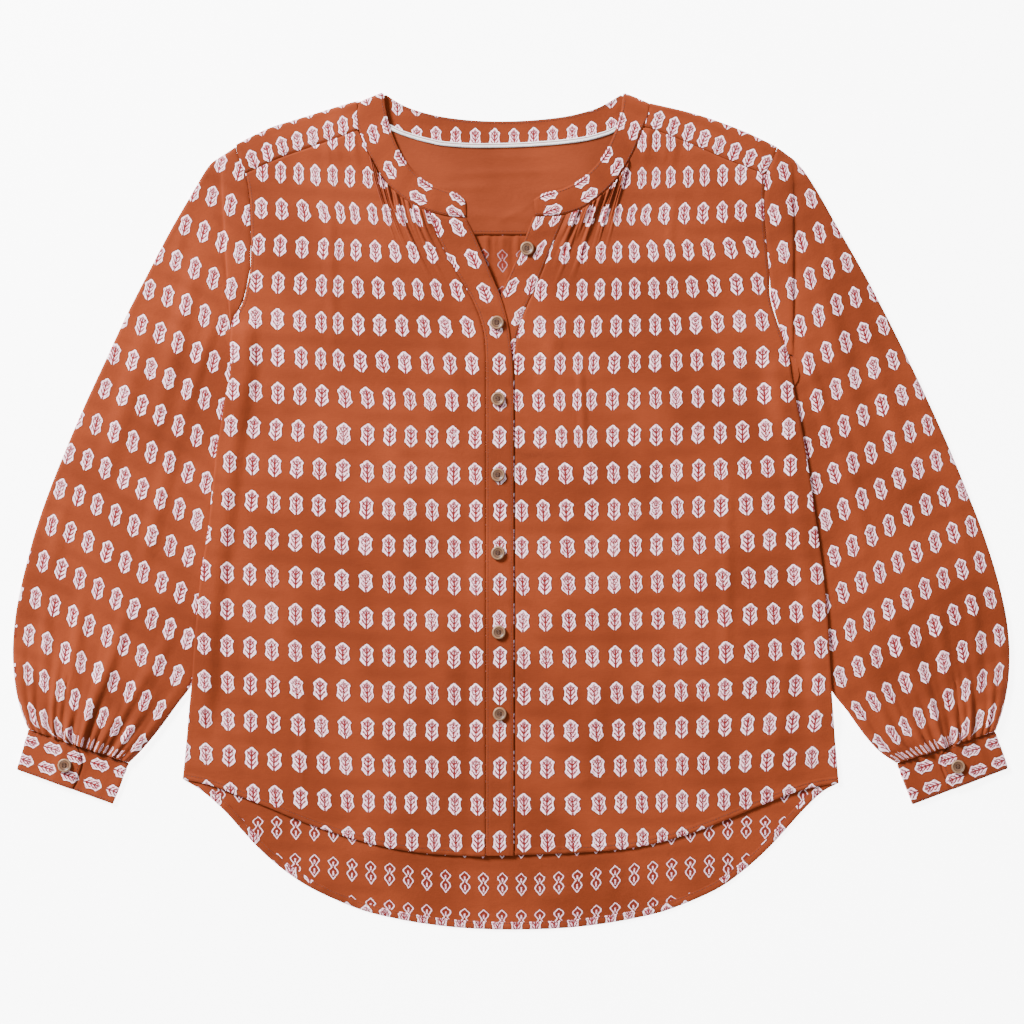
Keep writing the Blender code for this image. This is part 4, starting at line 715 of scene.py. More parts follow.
def make_yoke(sizes, finish, closer, inside):
    """Back of the yoke, and each shoulder folded over to the seam in front."""
    wall = 1000 * sizes.wall
    share = np.linspace(0.0, 1.0, 64)
    parts, tops = [], {}
    for side in ("right", "left"):
        sign = -1.0 if side == "right" else 1.0
        last = np.array(SHOULDER[side][-1])
        past = last + 2.6 * (last - SHOULDER[side][-2]) / np.linalg.norm(last - SHOULDER[side][-2])
        edge = at_shares(curve(SHOULDER[side][:-1] + [tuple(past)]), share)
        normal = normals_of(edge, (0.0, 1.0))
        seam = at_shares(curve(SHOULDER_SEAM[side]), share) + (0.0, GAP)
        radius = (front_level(edge[:, 0], edge[:, 1] - 6.0) + SOLID_CLOTH) / 2
        tops[side] = edge - normal * radius[:, None]
        outer, inner = [], []
        for angle in np.radians(np.linspace(-90.0, 90.0, 15)):
            for found, r in ((outer, radius), (inner, radius - wall)):
                flat = edge + normal * (r * math.cos(angle) - radius)[:, None]
                found.append(np.column_stack([flat, radius + r * math.sin(angle)]))
        crest = outer[-1][:, :2]
        for v in np.r_[0.04, 0.1, np.linspace(0.16, 0.9, 11), 0.94, 0.965, 0.985, 1.0]:
            flat = crest + (seam - crest) * v
            neck_x = float(x_at(NECK_SEAM[side][:4], flat[-1, 1]))
            neck_x -= sign * (1.3 * float(ease(342.0, 356.0, flat[-1, 1])) - 0.15)
            arm_x = float(flank(side, flat[0, 1]))
            flat[:, 0] += ((neck_x - flat[-1, 0]) * ease(0.7, 1.0, share)
                           + (arm_x - flat[0, 0]) * (1 - ease(0.0, 0.3, share)))
            level = front_level(flat[:, 0], flat[:, 1])
            width = np.linalg.norm(seam - crest, axis=1)
            high = (1 - v) * (2 * radius) + v * (level + SOLID_CLOTH)
            for distance in ((1 - v) * width, share * length_of(edge)):
                high = high + seam_dip(sizes, distance)
            high = high + 0.4 * seam_dip(sizes, (1 - share) * length_of(edge))
            high = high + 0.3 * np.sin(math.pi * v) * np.sin(share * 9.0 + 2.0 * v) ** 2
            outer.append(np.column_stack([flat, high]))
            inner.append(np.column_stack([flat, high - wall]))
        outer, inner = np.array(outer), np.array(inner)
        run = np.cumsum(np.r_[0.0, np.linalg.norm(np.diff(edge, axis=0), axis=1)])
        rows = np.linalg.norm(np.diff(outer, axis=0), axis=2)
        down = np.vstack([np.zeros(len(share)), np.cumsum(rows, axis=0)])
        uv = np.stack([np.broadcast_to(run, down.shape) * -sign + 4.0, down[-1] - down - 8.5],
                      axis=-1)
        parts.append(cloth_piece("yoke_shoulder_" + side, outer, inner, uv, closer,
                                 inside=inside))
    neck = at_shares(curve(BACK_NECK), np.linspace(0.0, 1.0, 60))[1:-1] - (0.0, 0.5)
    top = np.vstack([tops["right"], neck, tops["left"][::-1]])
    places = np.arange(len(top))
    knots = [0, len(share) - 1, len(top) - len(share), len(top) - 1]
    feet = [float(flank("right", YOKE_SEAM_Y)), -134.0, 120.0, float(flank("left", YOKE_SEAM_Y))]
    foot = np.column_stack([np.interp(places, knots, feet),
                            np.full(len(top), YOKE_SEAM_Y + GAP)])
    v = np.linspace(0.0, 1.0, 36)
    flat = foot[None] + (top - foot)[None] * v[:, None, None]
    middle = cloth_piece("cloth_yoke", lay(flat, 0.0), lay(flat, wall), flat, finish,
                         inside=inside)
    yoke = join_pieces(middle, parts)
    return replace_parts(yoke, "yoke")


def join_pieces(main, others):
    """One mesh of several closed walls, in the place of the first."""
    graph = bmesh.new()
    graph.from_mesh(main.data)
    for other in others:
        for material in other.data.materials:
            if material.name not in main.data.materials:
                main.data.materials.append(material)
        before = len(graph.faces)
        graph.from_mesh(other.data)
        graph.faces.ensure_lookup_table()
        names = [m.name for m in main.data.materials]
        moved = [names.index(m.name) for m in other.data.materials]
        for face in graph.faces[before:]:
            face.material_index = moved[face.material_index]
        bpy.data.objects.remove(other, do_unlink=True)
    graph.to_mesh(main.data)
    graph.free()
    return main


def make_lining(sizes, finish):
    """Plain cloth on the inside of the yoke, seen through the neck."""
    top = [(-233.0, 322.0), (-205.0, 336.0), (-165.0, 350.0), (-138.0, 356.5)]
    top += [(x, y - 1.0) for x, y in BACK_NECK if -130.0 < x < 118.0]
    top += [(124.0, 356.5), (165.0, 346.5), (200.0, 334.0), (224.0, 321.0)]
    u = np.linspace(0.0, 1.0, 190)
    upper = at_shares(curve(top), u)
    lower = np.column_stack([np.linspace(-229.0, 222.5, len(u)),
                             np.full(len(u), YOKE_SEAM_Y - 0.7)])
    v = np.r_[np.linspace(0.0, 0.95, 36), 0.975, 0.987, 0.994, 1.0]
    flat = upper[None] + (lower - upper)[None] * v[:, None, None]
    x, y = flat[..., 0], flat[..., 1]
    lift, _ = fold_lift(LINING_FOLDS, x, y)
    open_neck = ease(-112.0, -88.0, x) * (1 - ease(74.0, 96.0, x)) * (1 - ease(316.0, 326.0, y))
    level = STEP + lift * open_neck + seam_dip(sizes, (1 - v)[:, None] * 80.0)
    lining = top_piece("cloth_yoke_lining", flat, level, flat, finish, sizes)
    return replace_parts(lining, "yoke_lining")


def make_tape(sizes, finish):
    """White tape over the back neck seam, with a groove where it is sewn."""
    middle = at_shares(curve([row for row in BACK_NECK if -128.0 < row[0] < 113.0]),
                       np.linspace(0.0, 1.0, 220))
    normal = normals_of(middle, (0.0, 1.0))
    across = np.array([-2.1, -1.95, -1.6, -1.1, -0.6, -0.1, 0.3, 0.6, 0.9, 1.4, 1.75, 1.9])
    flat = middle[:, None] + normal[:, None] * across[None, :, None]
    crown = -0.45 * np.abs(across / 2.0) ** 6 - 0.4 * np.exp(-((across - 0.6) / 0.3) ** 2)
    along = np.linspace(0.0, length_of(middle), len(middle))[:, None]
    level = 2 * STEP + crown[None] + 0.1 * np.sin(along / 4.0 + np.sin(along / 11.0))
    uv = np.stack(np.broadcast_arrays(across[None], along), axis=-1)
    tape = top_piece("neck_tape_cotton", flat, level, uv, finish, sizes)
    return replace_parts(tape, "neck_tape")


def band_sections(side):
    """Sections of the neck band's front, from its open end to and round the shoulder fold."""
    front = np.linspace(0.0, 1.0, 76)
    seam = at_shares(curve(NECK_SEAM[side][::-1]), front)
    free = at_shares(curve(NECK_EDGE[side][::-1]), front)
    seam = seam + (free - seam) * (0.5 / np.linalg.norm(free - seam, axis=1))[:, None]
    line = free[-1] - seam[-1]
    out = np.array([-line[1], line[0]]) / np.linalg.norm(line)
    out = out * np.sign(out[1])
    radius = (2 * STEP + STEP + SOLID_CLOTH) / 2
    part = []
    for k, share in enumerate(front):
        ends = np.array([seam[k], free[k]]) - out * radius * ease(0.86, 1.0, share)
        low = front_level(ends[:, 0], ends[:, 1])
        part.append((ends, ends, low + SOLID_CLOTH, low))
    crease = np.array([seam[-1], free[-1]])
    for angle in np.radians(np.linspace(75.0, -75.0, 13)):
        flats = [crease + out * (r * math.cos(angle) - radius)
                 for r in (radius, radius - SOLID_CLOTH)]
        heights = [radius + r * math.sin(angle) for r in (radius, radius - SOLID_CLOTH)]
        part.append((flats[0], flats[1], np.full(2, heights[0]), np.full(2, heights[1])))
    return part, crease - out * radius


def make_band(sizes, finish, closer):
    """Neck band: right front, folded at the shoulder, across the back, folded again, left."""
    right, right_end = band_sections("right")
    left, left_end = band_sections("left")
    back = np.linspace(0.0, 1.0, 64)
    seam = at_shares(curve([(x, y + GAP / 2) for x, y in BACK_NECK]), back)
    free = at_shares(curve(BACK_BAND_EDGE), back)
    middle = []
    for k in range(len(back)):
        ends = np.array([seam[k], free[k]])
        if k in (0, len(back) - 1):
            ends = left_end if k else right_end
        middle.append((ends, ends, np.zeros(2), np.full(2, SOLID_CLOTH)))
    strip = right + middle + left[::-1]
    outer = np.array([lay(np.array([a]), high)[0] for a, b, high, low in strip])
    inner = np.array([lay(np.array([b]), low)[0] for a, b, high, low in strip])
    width = np.linalg.norm(outer[:, 1] - outer[:, 0], axis=1)
    ahead = np.linalg.norm(np.diff(outer.mean(axis=1), axis=0), axis=1)
    along = np.r_[0.0, np.cumsum(ahead)]
    share = edge_steps(26.0, 1.4, 12)
    outer = outer[:, :1] + (outer[:, 1:] - outer[:, :1]) * share[None, :, None]
    inner = inner[:, :1] + (inner[:, 1:] - inner[:, :1]) * share[None, :, None]
    to_inner = (inner - outer) / SOLID_CLOTH
    dip = 0.0
    for distance in (share[None] * width[:, None], (1 - share)[None] * width[:, None],
                     along[:, None] * np.ones((1, len(share))),
                     (along[-1] - along)[:, None] * np.ones((1, len(share)))):
        dip = dip - seam_dip(sizes, distance)
    soft = 0.14 * (1 + np.sin(along / 9.0 + 1.7 * np.sin(along / 31.0)))[:, None] \
        * np.sin(math.pi * share)[None]
    face = outer + to_inner * (dip - soft)[..., None]
    wall = outer + to_inner * (1000 * sizes.wall)
    from_free = (1 - share)[None] * width[:, None] - 2.2
    uv = np.stack(np.broadcast_arrays(from_free, along[:, None] - 9.0), axis=-1).copy()
    first, last = len(right), len(right) + len(middle)
    uv[last:, :, 1] = (along[-1] - along[last:])[:, None] - 16.0
    x, y = outer[first:last, :, 0], outer[first:last, :, 1]
    bend = np.where(x < 0, 0.0003, 0.0012) * x * x
    uv[first:last] = np.stack([x + 15.3, y - 336.0 - bend], axis=-1)
    band = cloth_piece("cloth_neck_band", face, wall, uv, finish)
    slots = np.zeros(len(band.data.polygons), np.int32)
    band.data.polygons.foreach_get("material_index", slots)
    band.data.materials.clear()
    for material in (finish, closer):
        band.data.materials.append(material)
    columns = len(share) - 1
    count = (len(strip) - 1) * columns
    face_row = (np.arange(len(slots)) % count) // columns
    is_wall = np.arange(len(slots)) < 2 * count
    slots[:] = (is_wall & (face_row >= first) & (face_row < last - 1)).astype(np.int32)
    band.data.polygons.foreach_set("material_index", slots)
    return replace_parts(band, "neck_band")


def placket_lines(side):
    """Sewn and free edge of a band, neck to hem, as close lines with matching rows."""
    free, seam = PLACKET_EDGE[side], PLACKET_SEAM[side]
    lines = []
    for points in (seam, free):
        bent = curve(points)
        foot = np.array([(points[-1][0], y) for y in np.linspace(109.1, -309.5, 106)[1:]])
        lines.append(np.vstack([bent, foot]))
    return lines


def make_placket(side, sizes, finish, inside):
    """A band down the front edge, lying beside its panel. The right one lies on the left one."""
    seam, free = placket_lines(side)
    share = edge_steps(25.0, 1.0, 12)
    flat = seam[:, None] + (free - seam)[:, None] * share[None, :, None]
    neck = np.array(sorted(NECK_SEAM[side][5:]))
    level_top = np.interp(flat[0, :, 0], *neck.T) - 0.7
    blend = np.clip(1 - np.arange(len(flat)) / 8.0, 0.0, 1.0)[:, None]
    flat[..., 1] += blend * (level_top - flat[0, :, 1])[None]
    x, y = flat[..., 0], flat[..., 1]
    level = front_level(x, y)
    if side == "right":
        level = level + STEP * (1 - ease(214.0, 247.0, y))
    width = np.linalg.norm(free - seam, axis=1)[:, None]
    middle = 0.5 * (seam + free)
    ahead = np.linalg.norm(np.diff(middle, axis=0), axis=1)
    down = np.r_[0.0, np.cumsum(ahead)]
    up = middle[-1, 1] + down[-1] - down
    ends = (down[:, None], (down[-1] - down)[:, None])
    for distance in (share[None] * width, (1 - share)[None] * width) + ends:
        level = level + seam_dip(sizes, distance)
    for inset in (share[None] * width, (1 - share)[None] * width):
        level = level - 0.25 * np.exp(-((inset - 1.9) / 0.5) ** 2)
    level = level + 0.12 * np.sin(down / 6.3 + 1.4 * np.sin(down / 23.0))[:, None] \
        * np.sin(math.pi * share)[None]
    level = level + hem_lift(down[-1] - down, 0.0 * down, 1000 * sizes.hem)[:, None] * 0.5
    upper = ease(186.0, 232.0, middle[:, 1])[:, None]
    if side == "right":
        offset, up = (share[None] - 0.5) * width - 5.0 * upper, up + 65.5
    else:
        offset, up = ((1 - share)[None] * width - 6.6) * (1 + 0.36 * upper), up + 58.5
    uv = np.stack(np.broadcast_arrays(offset, up[:, None]), axis=-1)
    band = top_piece("cloth_placket_" + side, flat, level, uv, finish, sizes, inside)
    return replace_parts(band, "placket_" + side)


def sleeve_rings(side, share):
    """Plan and both undersides of the table's rings at these shares, outer to inner edge."""
    rings = SLEEVE_RINGS[side]
    out = -1.0 if side == "right" else 1.0
    armhole = np.array(ARMHOLE[side]) + (out * GAP, 0.0)
    knots = np.linalg.norm(np.diff(armhole, axis=0), axis=1)
    knots = np.r_[0.0, np.cumsum(knots)] / knots.sum()
    swell = np.sin(np.pi * share)
    lines, highs = [], []
    for number, (ox, oy, ix, iy, loft) in enumerate(rings):
        start, end = np.array([ox, oy]), np.array([ix, iy])
        line = start + (end - start) * share[:, None]
        high = SLEEVE_TOP - 0.3 * (number < 6) * ease(0.6, 1.0, share) + loft * swell * swell
        if number == 0:
            line = np.column_stack([np.interp(share, knots, armhole[:, k]) for k in (0, 1)])
            high = front_level(line[:, 0], line[:, 1])
        elif number == 1:
            high = 1.7 + 1.8 * np.sqrt(swell)
        elif number == 2:
            high = np.full(len(share), 1.7)
        lines.append(line)
        highs.append(high)
    return np.array(lines), np.array(highs)


def between_rings(values, places):
    """Smooth values between the table's rings."""
    padded = np.concatenate([2 * values[:1] - values[1:2], values,
                             2 * values[-1:] - values[-2:-1]])
    whole = np.clip(np.floor(places).astype(int), 0, len(values) - 2)
    shape = (len(places),) + (1,) * (values.ndim - 1)
    s = (places - whole).reshape(shape)
    a, b, c, d = (padded[whole + k] for k in range(4))
    return 0.5 * (2 * b + (c - a) * s + (2 * a - 5 * b + 4 * c - d) * s ** 2
                  + (3 * b - a - 3 * c + d) * s ** 3)


def inward(points, sign):
    """Unit vectors square to an edge of the sleeve, with x pointing the way of the sign."""
    run = np.gradient(points, axis=0)
    normal = np.column_stack([-run[:, 1], run[:, 0]])
    normal /= np.linalg.norm(normal, axis=1)[:, None]
    return normal * (sign * np.sign(normal[:, 0]))[:, None]


def sleeve_print(side, flat, from_edge):
    """The sleeve's rows run down to the body and its columns lean, mirrored on the left."""
    mirror = 1.0 if side == "right" else -1.0
    x, y = flat[..., 0] * mirror, flat[..., 1]
    y = y + 0.0034 * np.maximum(44.0 - from_edge, 0.0) ** 2
    (ax, ay), (bx, by) = SLEEVE_GRAIN["across"], SLEEVE_GRAIN["along"]
    x, y = x - SLEEVE_GRAIN["leaf"][0], y - SLEEVE_GRAIN["leaf"][1]
    turn = ax * by - ay * bx
    return np.stack([LEAF_PITCH * (x * by - y * bx) / turn,
                     ROW_PITCH * (y * ax - x * ay) / turn], axis=-1)


def make_sleeve(side, sizes, finish):
    """A flattened tube: upper layer, lower layer, and a soft fold down each edge."""
    wall = 1000 * sizes.wall
    share = np.linspace(0.0, 1.0, 89)
    lines, highs = sleeve_rings(side, share)
    last = len(lines) - 1
    places = np.r_[0.0, 0.08, 0.2, np.linspace(0.35, 2.0, 8)[:-1],
                   np.linspace(2.0, last - 5.0, 62)[:-1],
                   np.linspace(last - 5.0, last - 0.02, 46), last]
    flat = between_rings(lines, places)
    onward = flat[-1] - flat[-2]
    flat[-1] += 0.22 * onward / np.linalg.norm(onward, axis=-1)[:, None]  # closer to the cuff
    high = between_rings(highs, places)
    ends = flat[:, [0, -1]]
    outward = -1.0 if side == "right" else 1.0
    into = [inward(ends[:, 0], -outward), inward(ends[:, 1], outward)]
    run = ends[:, 1] - ends[:, 0]
    width = np.linalg.norm(run, axis=1)
    slant = [np.maximum(np.abs((run * into[k]).sum(axis=1)) / width, 0.3) for k in (0, 1)]
    margin = [2.4 / (slant[k] * width) for k in (0, 1)]
    inside = margin[0][:, None] + (1 - margin[0] - margin[1])[:, None] * share[None]
    inside[0] = 0.004 + 0.992 * share
    upper = np.stack([[np.interp(inside[j], share, flat[j, :, k]) for k in (0, 1)]
                      for j in range(len(places))]).transpose(0, 2, 1)
    high = np.array([np.interp(inside[j], share, high[j]) for j in range(len(places))])
    foot = ends[-1].mean(axis=0)
    away = np.linalg.norm(flat.mean(axis=1) - foot, axis=1)[:, None]
    pitch = 1.0 / CUFF_GATHERS[2]
    gathers = ridges(0.5 * pitch, pitch, *CUFF_GATHERS[2:4], CUFF_GATHERS[4] * sizes.gathers)
    swell = np.sin(np.pi * inside)
    high = high + gather_lift(gathers, inside, away) * swell ** 0.35
    high = high + 0.6 * (1 - ease(0, 95, away))
    folds, moved = fold_lift(SLEEVE_FOLDS[side], upper[..., 0], upper[..., 1])
    high = high + folds * ease(0.0, 0.5, swell) * ease(2.0, 4.0, places)[:, None]
    from_start = np.linalg.norm(upper - upper[:1], axis=-1)
    high = high + seam_dip(sizes, from_start) + seam_dip(sizes, away)
    low = 0.4 * gather_lift(gathers, inside - 0.5 * pitch, away) * swell ** 0.5
    half = 0.5 * (between_rings(highs, places)[:, [0, -1]] + SOLID_CLOTH)
    half = half + 0.3 * (1 - ease(0, 95, away))
    grids = []
    for depth in (0.0, wall):
        edges = []
        for k in (0, 1):
            tall = half[:, k] - depth
            middle = ends[:, k] + into[k] * depth
            narrow = np.where((k == 1) & (places < 6), 0.08, 0.34) * tall
            steps = []
            for angle in np.radians((60.0, 30.0, 0.0, -30.0, -60.0)):
                plan = middle + into[k] * (narrow * (1 - math.cos(angle)) * 1.6)[:, None]
                steps.append(np.column_stack([plan, half[:, k] + tall * math.sin(angle) * 0.9]))
            edges.append(np.stack(steps, axis=1))
        top = lay(upper, high + SOLID_CLOTH - depth)
        under = lay(upper, low + depth)
        grids.append(np.concatenate([edges[1][:, 2::-1], top[:, ::-1], edges[0], under,
                                     edges[1][:, :2:-1]], axis=1))
    uv = sleeve_uv(side, places, upper, ends, inside, width, moved, last)
    sleeve = cloth_piece("cloth_sleeve_" + side, grids[0], grids[1], uv, finish, wrap=True)
    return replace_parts(sleeve, "sleeve_" + side)


def sleeve_uv(side, places, upper, ends, inside, width, moved, last):
    """Print places round a sleeve, from the underarm seam over the top and back below."""
    full = np.interp(last - 5.0, places, width)
    widen = ease(last - 5.2, last - 4.0, places)[:, None] * (full - width[:, None]) \
        * (places > last - 5.0)[:, None]
    run = (ends[:, 1] - ends[:, 0]) / width[:, None]
    ripple = 1.2 * np.sin(inside * math.tau * CUFF_GATHERS[2])
    ripple = ripple * ease(last - 4.0, last - 1.0, places)[:, None]
    tucked = 1.6 * np.exp(-np.linalg.norm(upper - upper[-1:], axis=-1) / 2.2)
    spread = (inside - 0.5) * (widen + tucked * width[:, None]) + ripple + moved
    flat = upper + run[:, None] * spread[..., None]
    distance = inside * (width[:, None] + widen)
    outer_end = ends[:, 0][:, None] - run[:, None] * (0.5 * widen)[..., None]
    over = outer_end + run[:, None] * np.array([1.2, 0.4, -0.6, -1.8, -3.0])[None, :, None]
    below = outer_end - run[:, None] * (distance + 2.0)[..., None]
    inner_top = flat[:, -1:] + run[:, None] * np.array([2.4, 1.6, 0.8])[None, :, None]
    inner_under = below[:, -1:] - run[:, None] * np.array([0.8, 1.6, 2.4])[None, :, None]
    plan = np.concatenate([inner_top, flat[:, ::-1], over, below, inner_under], axis=1)
    from_edge = np.concatenate([np.full((len(places), 3), 99.0), distance[:, ::-1],
                                np.zeros((len(places), 5)), 0.0 * distance,
                                np.zeros((len(places), 3))], axis=1)
    uv = sleeve_print(side, plan, from_edge)
    up = np.linalg.norm(ends.mean(axis=1) - ends[-1].mean(axis=0), axis=1)[:, None]
    top = inside[-1, ::-1]
    across = np.concatenate([np.ones(3), top, np.zeros(plan.shape[1] - 3 - len(top))])
    return squeezed_print(uv, up, across)


def squeezed_print(uv, up, across):
    """A row of leaves taken up in the fine pleats above the cuff, each showing as a sliver."""
    column = np.arange(uv.shape[1])
    zigzag = np.array([0.0, 7.0, 10.0, 7.0, 0.0, -7.0, -10.0, -7.0])[column % 8]
    stretch = 2.3 + 0.5 * np.sin(1.7 * column)
    edge = uv[np.argmin(np.abs(up[:, 0] - PLEATS_END))]
    higher = uv[np.argmin(np.abs(up[:, 0] - 20.0))]
    climbs = np.sign((higher - edge)[:, 1])
    past = (climbs * edge[:, 1]) % ROW_PITCH
    leaf = LEAF_PITCH * np.round(edge[:, 0] / LEAF_PITCH)
    pleats = np.stack([leaf + zigzag + 0.0 * up,
                       edge[:, 1] + climbs * (stretch * (up - 5.0) - past)], axis=-1)
    bare = (np.abs(past - 0.5 * ROW_PITCH) < 7.5) | (np.abs(edge[:, 0] - leaf) > 7.2)
    held = (up < PLEATS_END) & (bare & (across > 0.36) & (across < 0.97))[None]
    return np.where(held[..., None], pleats, uv)


def cuff_tip(v):
    """How far the lapped end reaches along the cuff, at a share of the cuff's height."""
    return 55.8 - 11.0 * max(1 - 2.2 * v, 0.0) ** 2.0 - 1.5 * max(2 * v - 1, 0.0) ** 4


def cuff_path(width, end):
    """Centre line of the cuff's section, from the hidden end round to the one on top."""
    low, under, over = (layer * STEP + 0.5 * SOLID_CLOTH for layer in range(3))
    tight, loose = 0.5 * STEP, 0.5 * (2.6 - low)
    path = [(40.0, under), (0.62 * width, under)]
    for a in np.radians(np.linspace(90.0, -90.0, 11)):
        path.append((width - tight - 0.5 * SOLID_CLOTH + tight * math.cos(a),
                     low + tight + tight * math.sin(a)))
    path.append((0.5 * width, low))
    for a in np.radians(np.linspace(-90.0, 90.0, 11)):
        path.append((loose + 0.5 * SOLID_CLOTH - loose * math.cos(a),
                     low + loose + loose * math.sin(a)))
    path += [(22.0, 2.7), (30.0, 2.9), (36.0, over), (46.0, over), (end, over)]
    return np.array(path)


def make_cuff(side, sizes, finish):
    """A band round the wrist laid flat, its outer end lapped over with a rounded tip."""
    a, b, c, d = (np.array(p) for p in CUFF[side])
    width = np.linalg.norm(b - a)
    tall = np.linalg.norm(d - a)
    rows = edge_steps(tall, 2.0, 13)
    outer, inner, uv = [], [], []
    for v in rows:
        end = cuff_tip(v)
        path = cuff_path(width, end)
        run = length_of(path)
        beyond = end - 40.0 + np.array([-0.4, 0.2, 0.6, 1.0, 1.4, 1.9, 2.6])
        near_end = np.array([6.0, 4.4, 3.0, 1.9, 1.1, 0.5, 0.0])
        share = np.sort(np.r_[np.linspace(0.0, 1.0 - 8.0 / run, 120), 1 - near_end / run,
                              beyond / run])
        path = at_shares(path, share)
        slope = np.gradient(path, axis=0)
        normal = np.column_stack([-slope[:, 1], slope[:, 0]])
        normal /= np.linalg.norm(normal, axis=1)[:, None]
        along = share * run
        dip = sum(seam_dip(sizes, e) for e in (v * tall, (1 - v) * tall))
        dip = dip + seam_dip(sizes, run - along)
        dip = dip - 0.2 * np.exp(-((run - along - 1.9) / 0.5) ** 2)
        dip = dip - 0.9 * np.exp(-((along - end + 39.1) / 0.9) ** 2)
        wave = 0.16 * np.sin(along / 8.0 + 2.0 * v) * np.sin(math.pi * v)
        for found, depth in ((outer, 0.5 * SOLID_CLOTH + dip + wave * (along < run - 12.0)),
                             (inner, 0.5 * SOLID_CLOTH - 1000 * sizes.wall)):
            row = path + normal * np.broadcast_to(depth, share.shape)[:, None]
            u = row[:, 0:1] / width
            flat = (1 - v) * ((1 - u) * a + u * b) + v * ((1 - u) * d + u * c)
            found.append(np.column_stack([flat, row[:, 1]]))
        above = end - (run - along) - 4.8 + 9 * 22.2
        under = along + 35.2
        turned = ease(56.0, run - 60.0, along)
        uv.append(np.column_stack([np.full(len(share), v * tall - 9.5),
                                   under * (1 - turned) + above * turned]))
    cuff = cloth_piece("cloth_cuff_" + side, np.array(outer), np.array(inner), np.array(uv), finish)
    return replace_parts(cuff, "cuff_" + side)


def button_seat(x, y):
    """Height at which a button sits."""
    if abs(x) > 300.0:
        return 2 * STEP + SOLID_CLOTH + GAP
    if y > 230.0:
        return float(front_level(x, y)) + SOLID_CLOTH + GAP
    return float(front_level(x, y)) + STEP + SOLID_CLOTH + GAP


def make_button(name, x, y, sizes, finish, thread):
    """A turned horn button with a rounded rim, a dished middle, four holes and its thread."""
    r, h = 1000 * sizes.radius, 1000 * sizes.thick
    profile = [(0.0, h - 0.62), (0.44 * r, h - 0.62), (0.49 * r, h - 0.56),
               (0.53 * r, h - 0.40), (0.57 * r, h - 0.34), (0.61 * r, h - 0.42),
               (0.65 * r, h - 0.30), (0.72 * r, h - 0.06),
               (0.80 * r, h), (0.88 * r, h - 0.05), (0.95 * r, h - 0.30), (0.985 * r, h - 0.65),
               (r, h - 1.0), (r, 0.9), (0.98 * r, 0.55), (0.92 * r, 0.22), (0.82 * r, 0.05),
               (0.7 * r, 0.0), (0.0, 0.0)]
    sides = 56
    body = bmesh.new()
    rings = []
    for q, w in profile[1:-1]:
        turns = [math.tau * k / sides for k in range(sides)]
        rings.append([body.verts.new((q * math.cos(t), q * math.sin(t), w)) for t in turns])
    for first, second in zip(rings, rings[1:]):
        for k in range(sides):
            body.faces.new((first[k], second[k], second[(k + 1) % sides], first[(k + 1) % sides]))
    body.faces.new(rings[0])
    body.faces.new(rings[-1][::-1])
    bmesh.ops.recalc_face_normals(body, faces=body.faces)
    mesh = bpy.data.meshes.new(name)
    body.to_mesh(mesh)
    body.free()
    button = bpy.data.objects.new("horn_" + name, mesh)
    bpy.context.scene.collection.objects.link(button)
    holes = bmesh.new()
    for k in range(4):
        angle = math.radians(45 + 90 * k)
        made = bmesh.ops.create_cone(holes, cap_ends=True, segments=18, radius1=1000 * sizes.hole,
                                     radius2=1000 * sizes.hole, depth=3 * h)
        bmesh.ops.translate(holes, verts=made["verts"],
                            vec=(1000 * sizes.hole_offset * math.cos(angle),
                                 1000 * sizes.hole_offset * math.sin(angle), 0.0))
    cutter_mesh = bpy.data.meshes.new(name + "_holes")
    holes.to_mesh(cutter_mesh)
    holes.free()
    cutter = bpy.data.objects.new(name + "_holes", cutter_mesh)
    bpy.context.scene.collection.objects.link(cutter)
    cut = button.modifiers.new("Holes", "BOOLEAN")
    cut.operation, cut.solver, cut.object = "DIFFERENCE", "EXACT", cutter
    make_real(button)
    bpy.data.objects.remove(cutter, do_unlink=True)
    mesh = button.data
    layer = mesh.uv_layers.new(name="cut")
    for loop in mesh.loops:
        layer.data[loop.index].uv = mesh.vertices[loop.vertex_index].co.xy * MM
    seat = button_seat(x, y)
    move_into_place(mesh, x, y, seat)
    mesh.materials.clear()
    mesh.materials.append(finish)
    smooth(mesh, 40)
    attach(button, "root")
    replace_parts(button, name)
    sewing = bmesh.new()
    offset = 1000 * sizes.hole_offset * math.sqrt(0.5)
    for sign in (-1.0, 1.0):
        made = bmesh.ops.create_uvsphere(sewing, u_segments=10, v_segments=8, radius=1.0)
        for vertex in made["verts"]:
            px, py, pz = vertex.co
            bend = 1.0 - (px * px)
            vertex.co = (px * (offset + 0.55), sign * offset + py * 0.34,
                         h - 1.25 + 0.5 * bend + pz * 0.28)
    sewn = bpy.data.meshes.new(name + "_thread")
    sewing.to_mesh(sewn)
    sewing.free()
    move_into_place(sewn, x, y, seat)
    sewn.materials.append(thread)
    smooth(sewn, 60)
    thread_piece = bpy.data.objects.new(name + "_thread", sewn)
    bpy.context.scene.collection.objects.link(thread_piece)
    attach(thread_piece, "root")
    return button


def make_real(obj):
    """The evaluated shape as the object's own plain mesh."""
    bpy.context.view_layer.update()
    graph = bpy.context.evaluated_depsgraph_get()
    mesh = bpy.data.meshes.new_from_object(obj.evaluated_get(graph))
    obj.modifiers.clear()
    obj.data = mesh


def move_into_place(mesh, x, y, z):
    """Moves a mesh made in millimetres round its own middle to its place on the blouse."""
    for vertex in mesh.vertices:
        vertex.co = (Vector(vertex.co) + Vector((x, y, z)) + Vector(PLACE)) * MM


def smooth(mesh, degrees):
    """Smooth shading with creases at edges sharper than this."""
    mesh.polygons.foreach_set("use_smooth", np.ones(len(mesh.polygons), bool))
    mesh.set_sharp_from_angle(angle=math.radians(degrees))


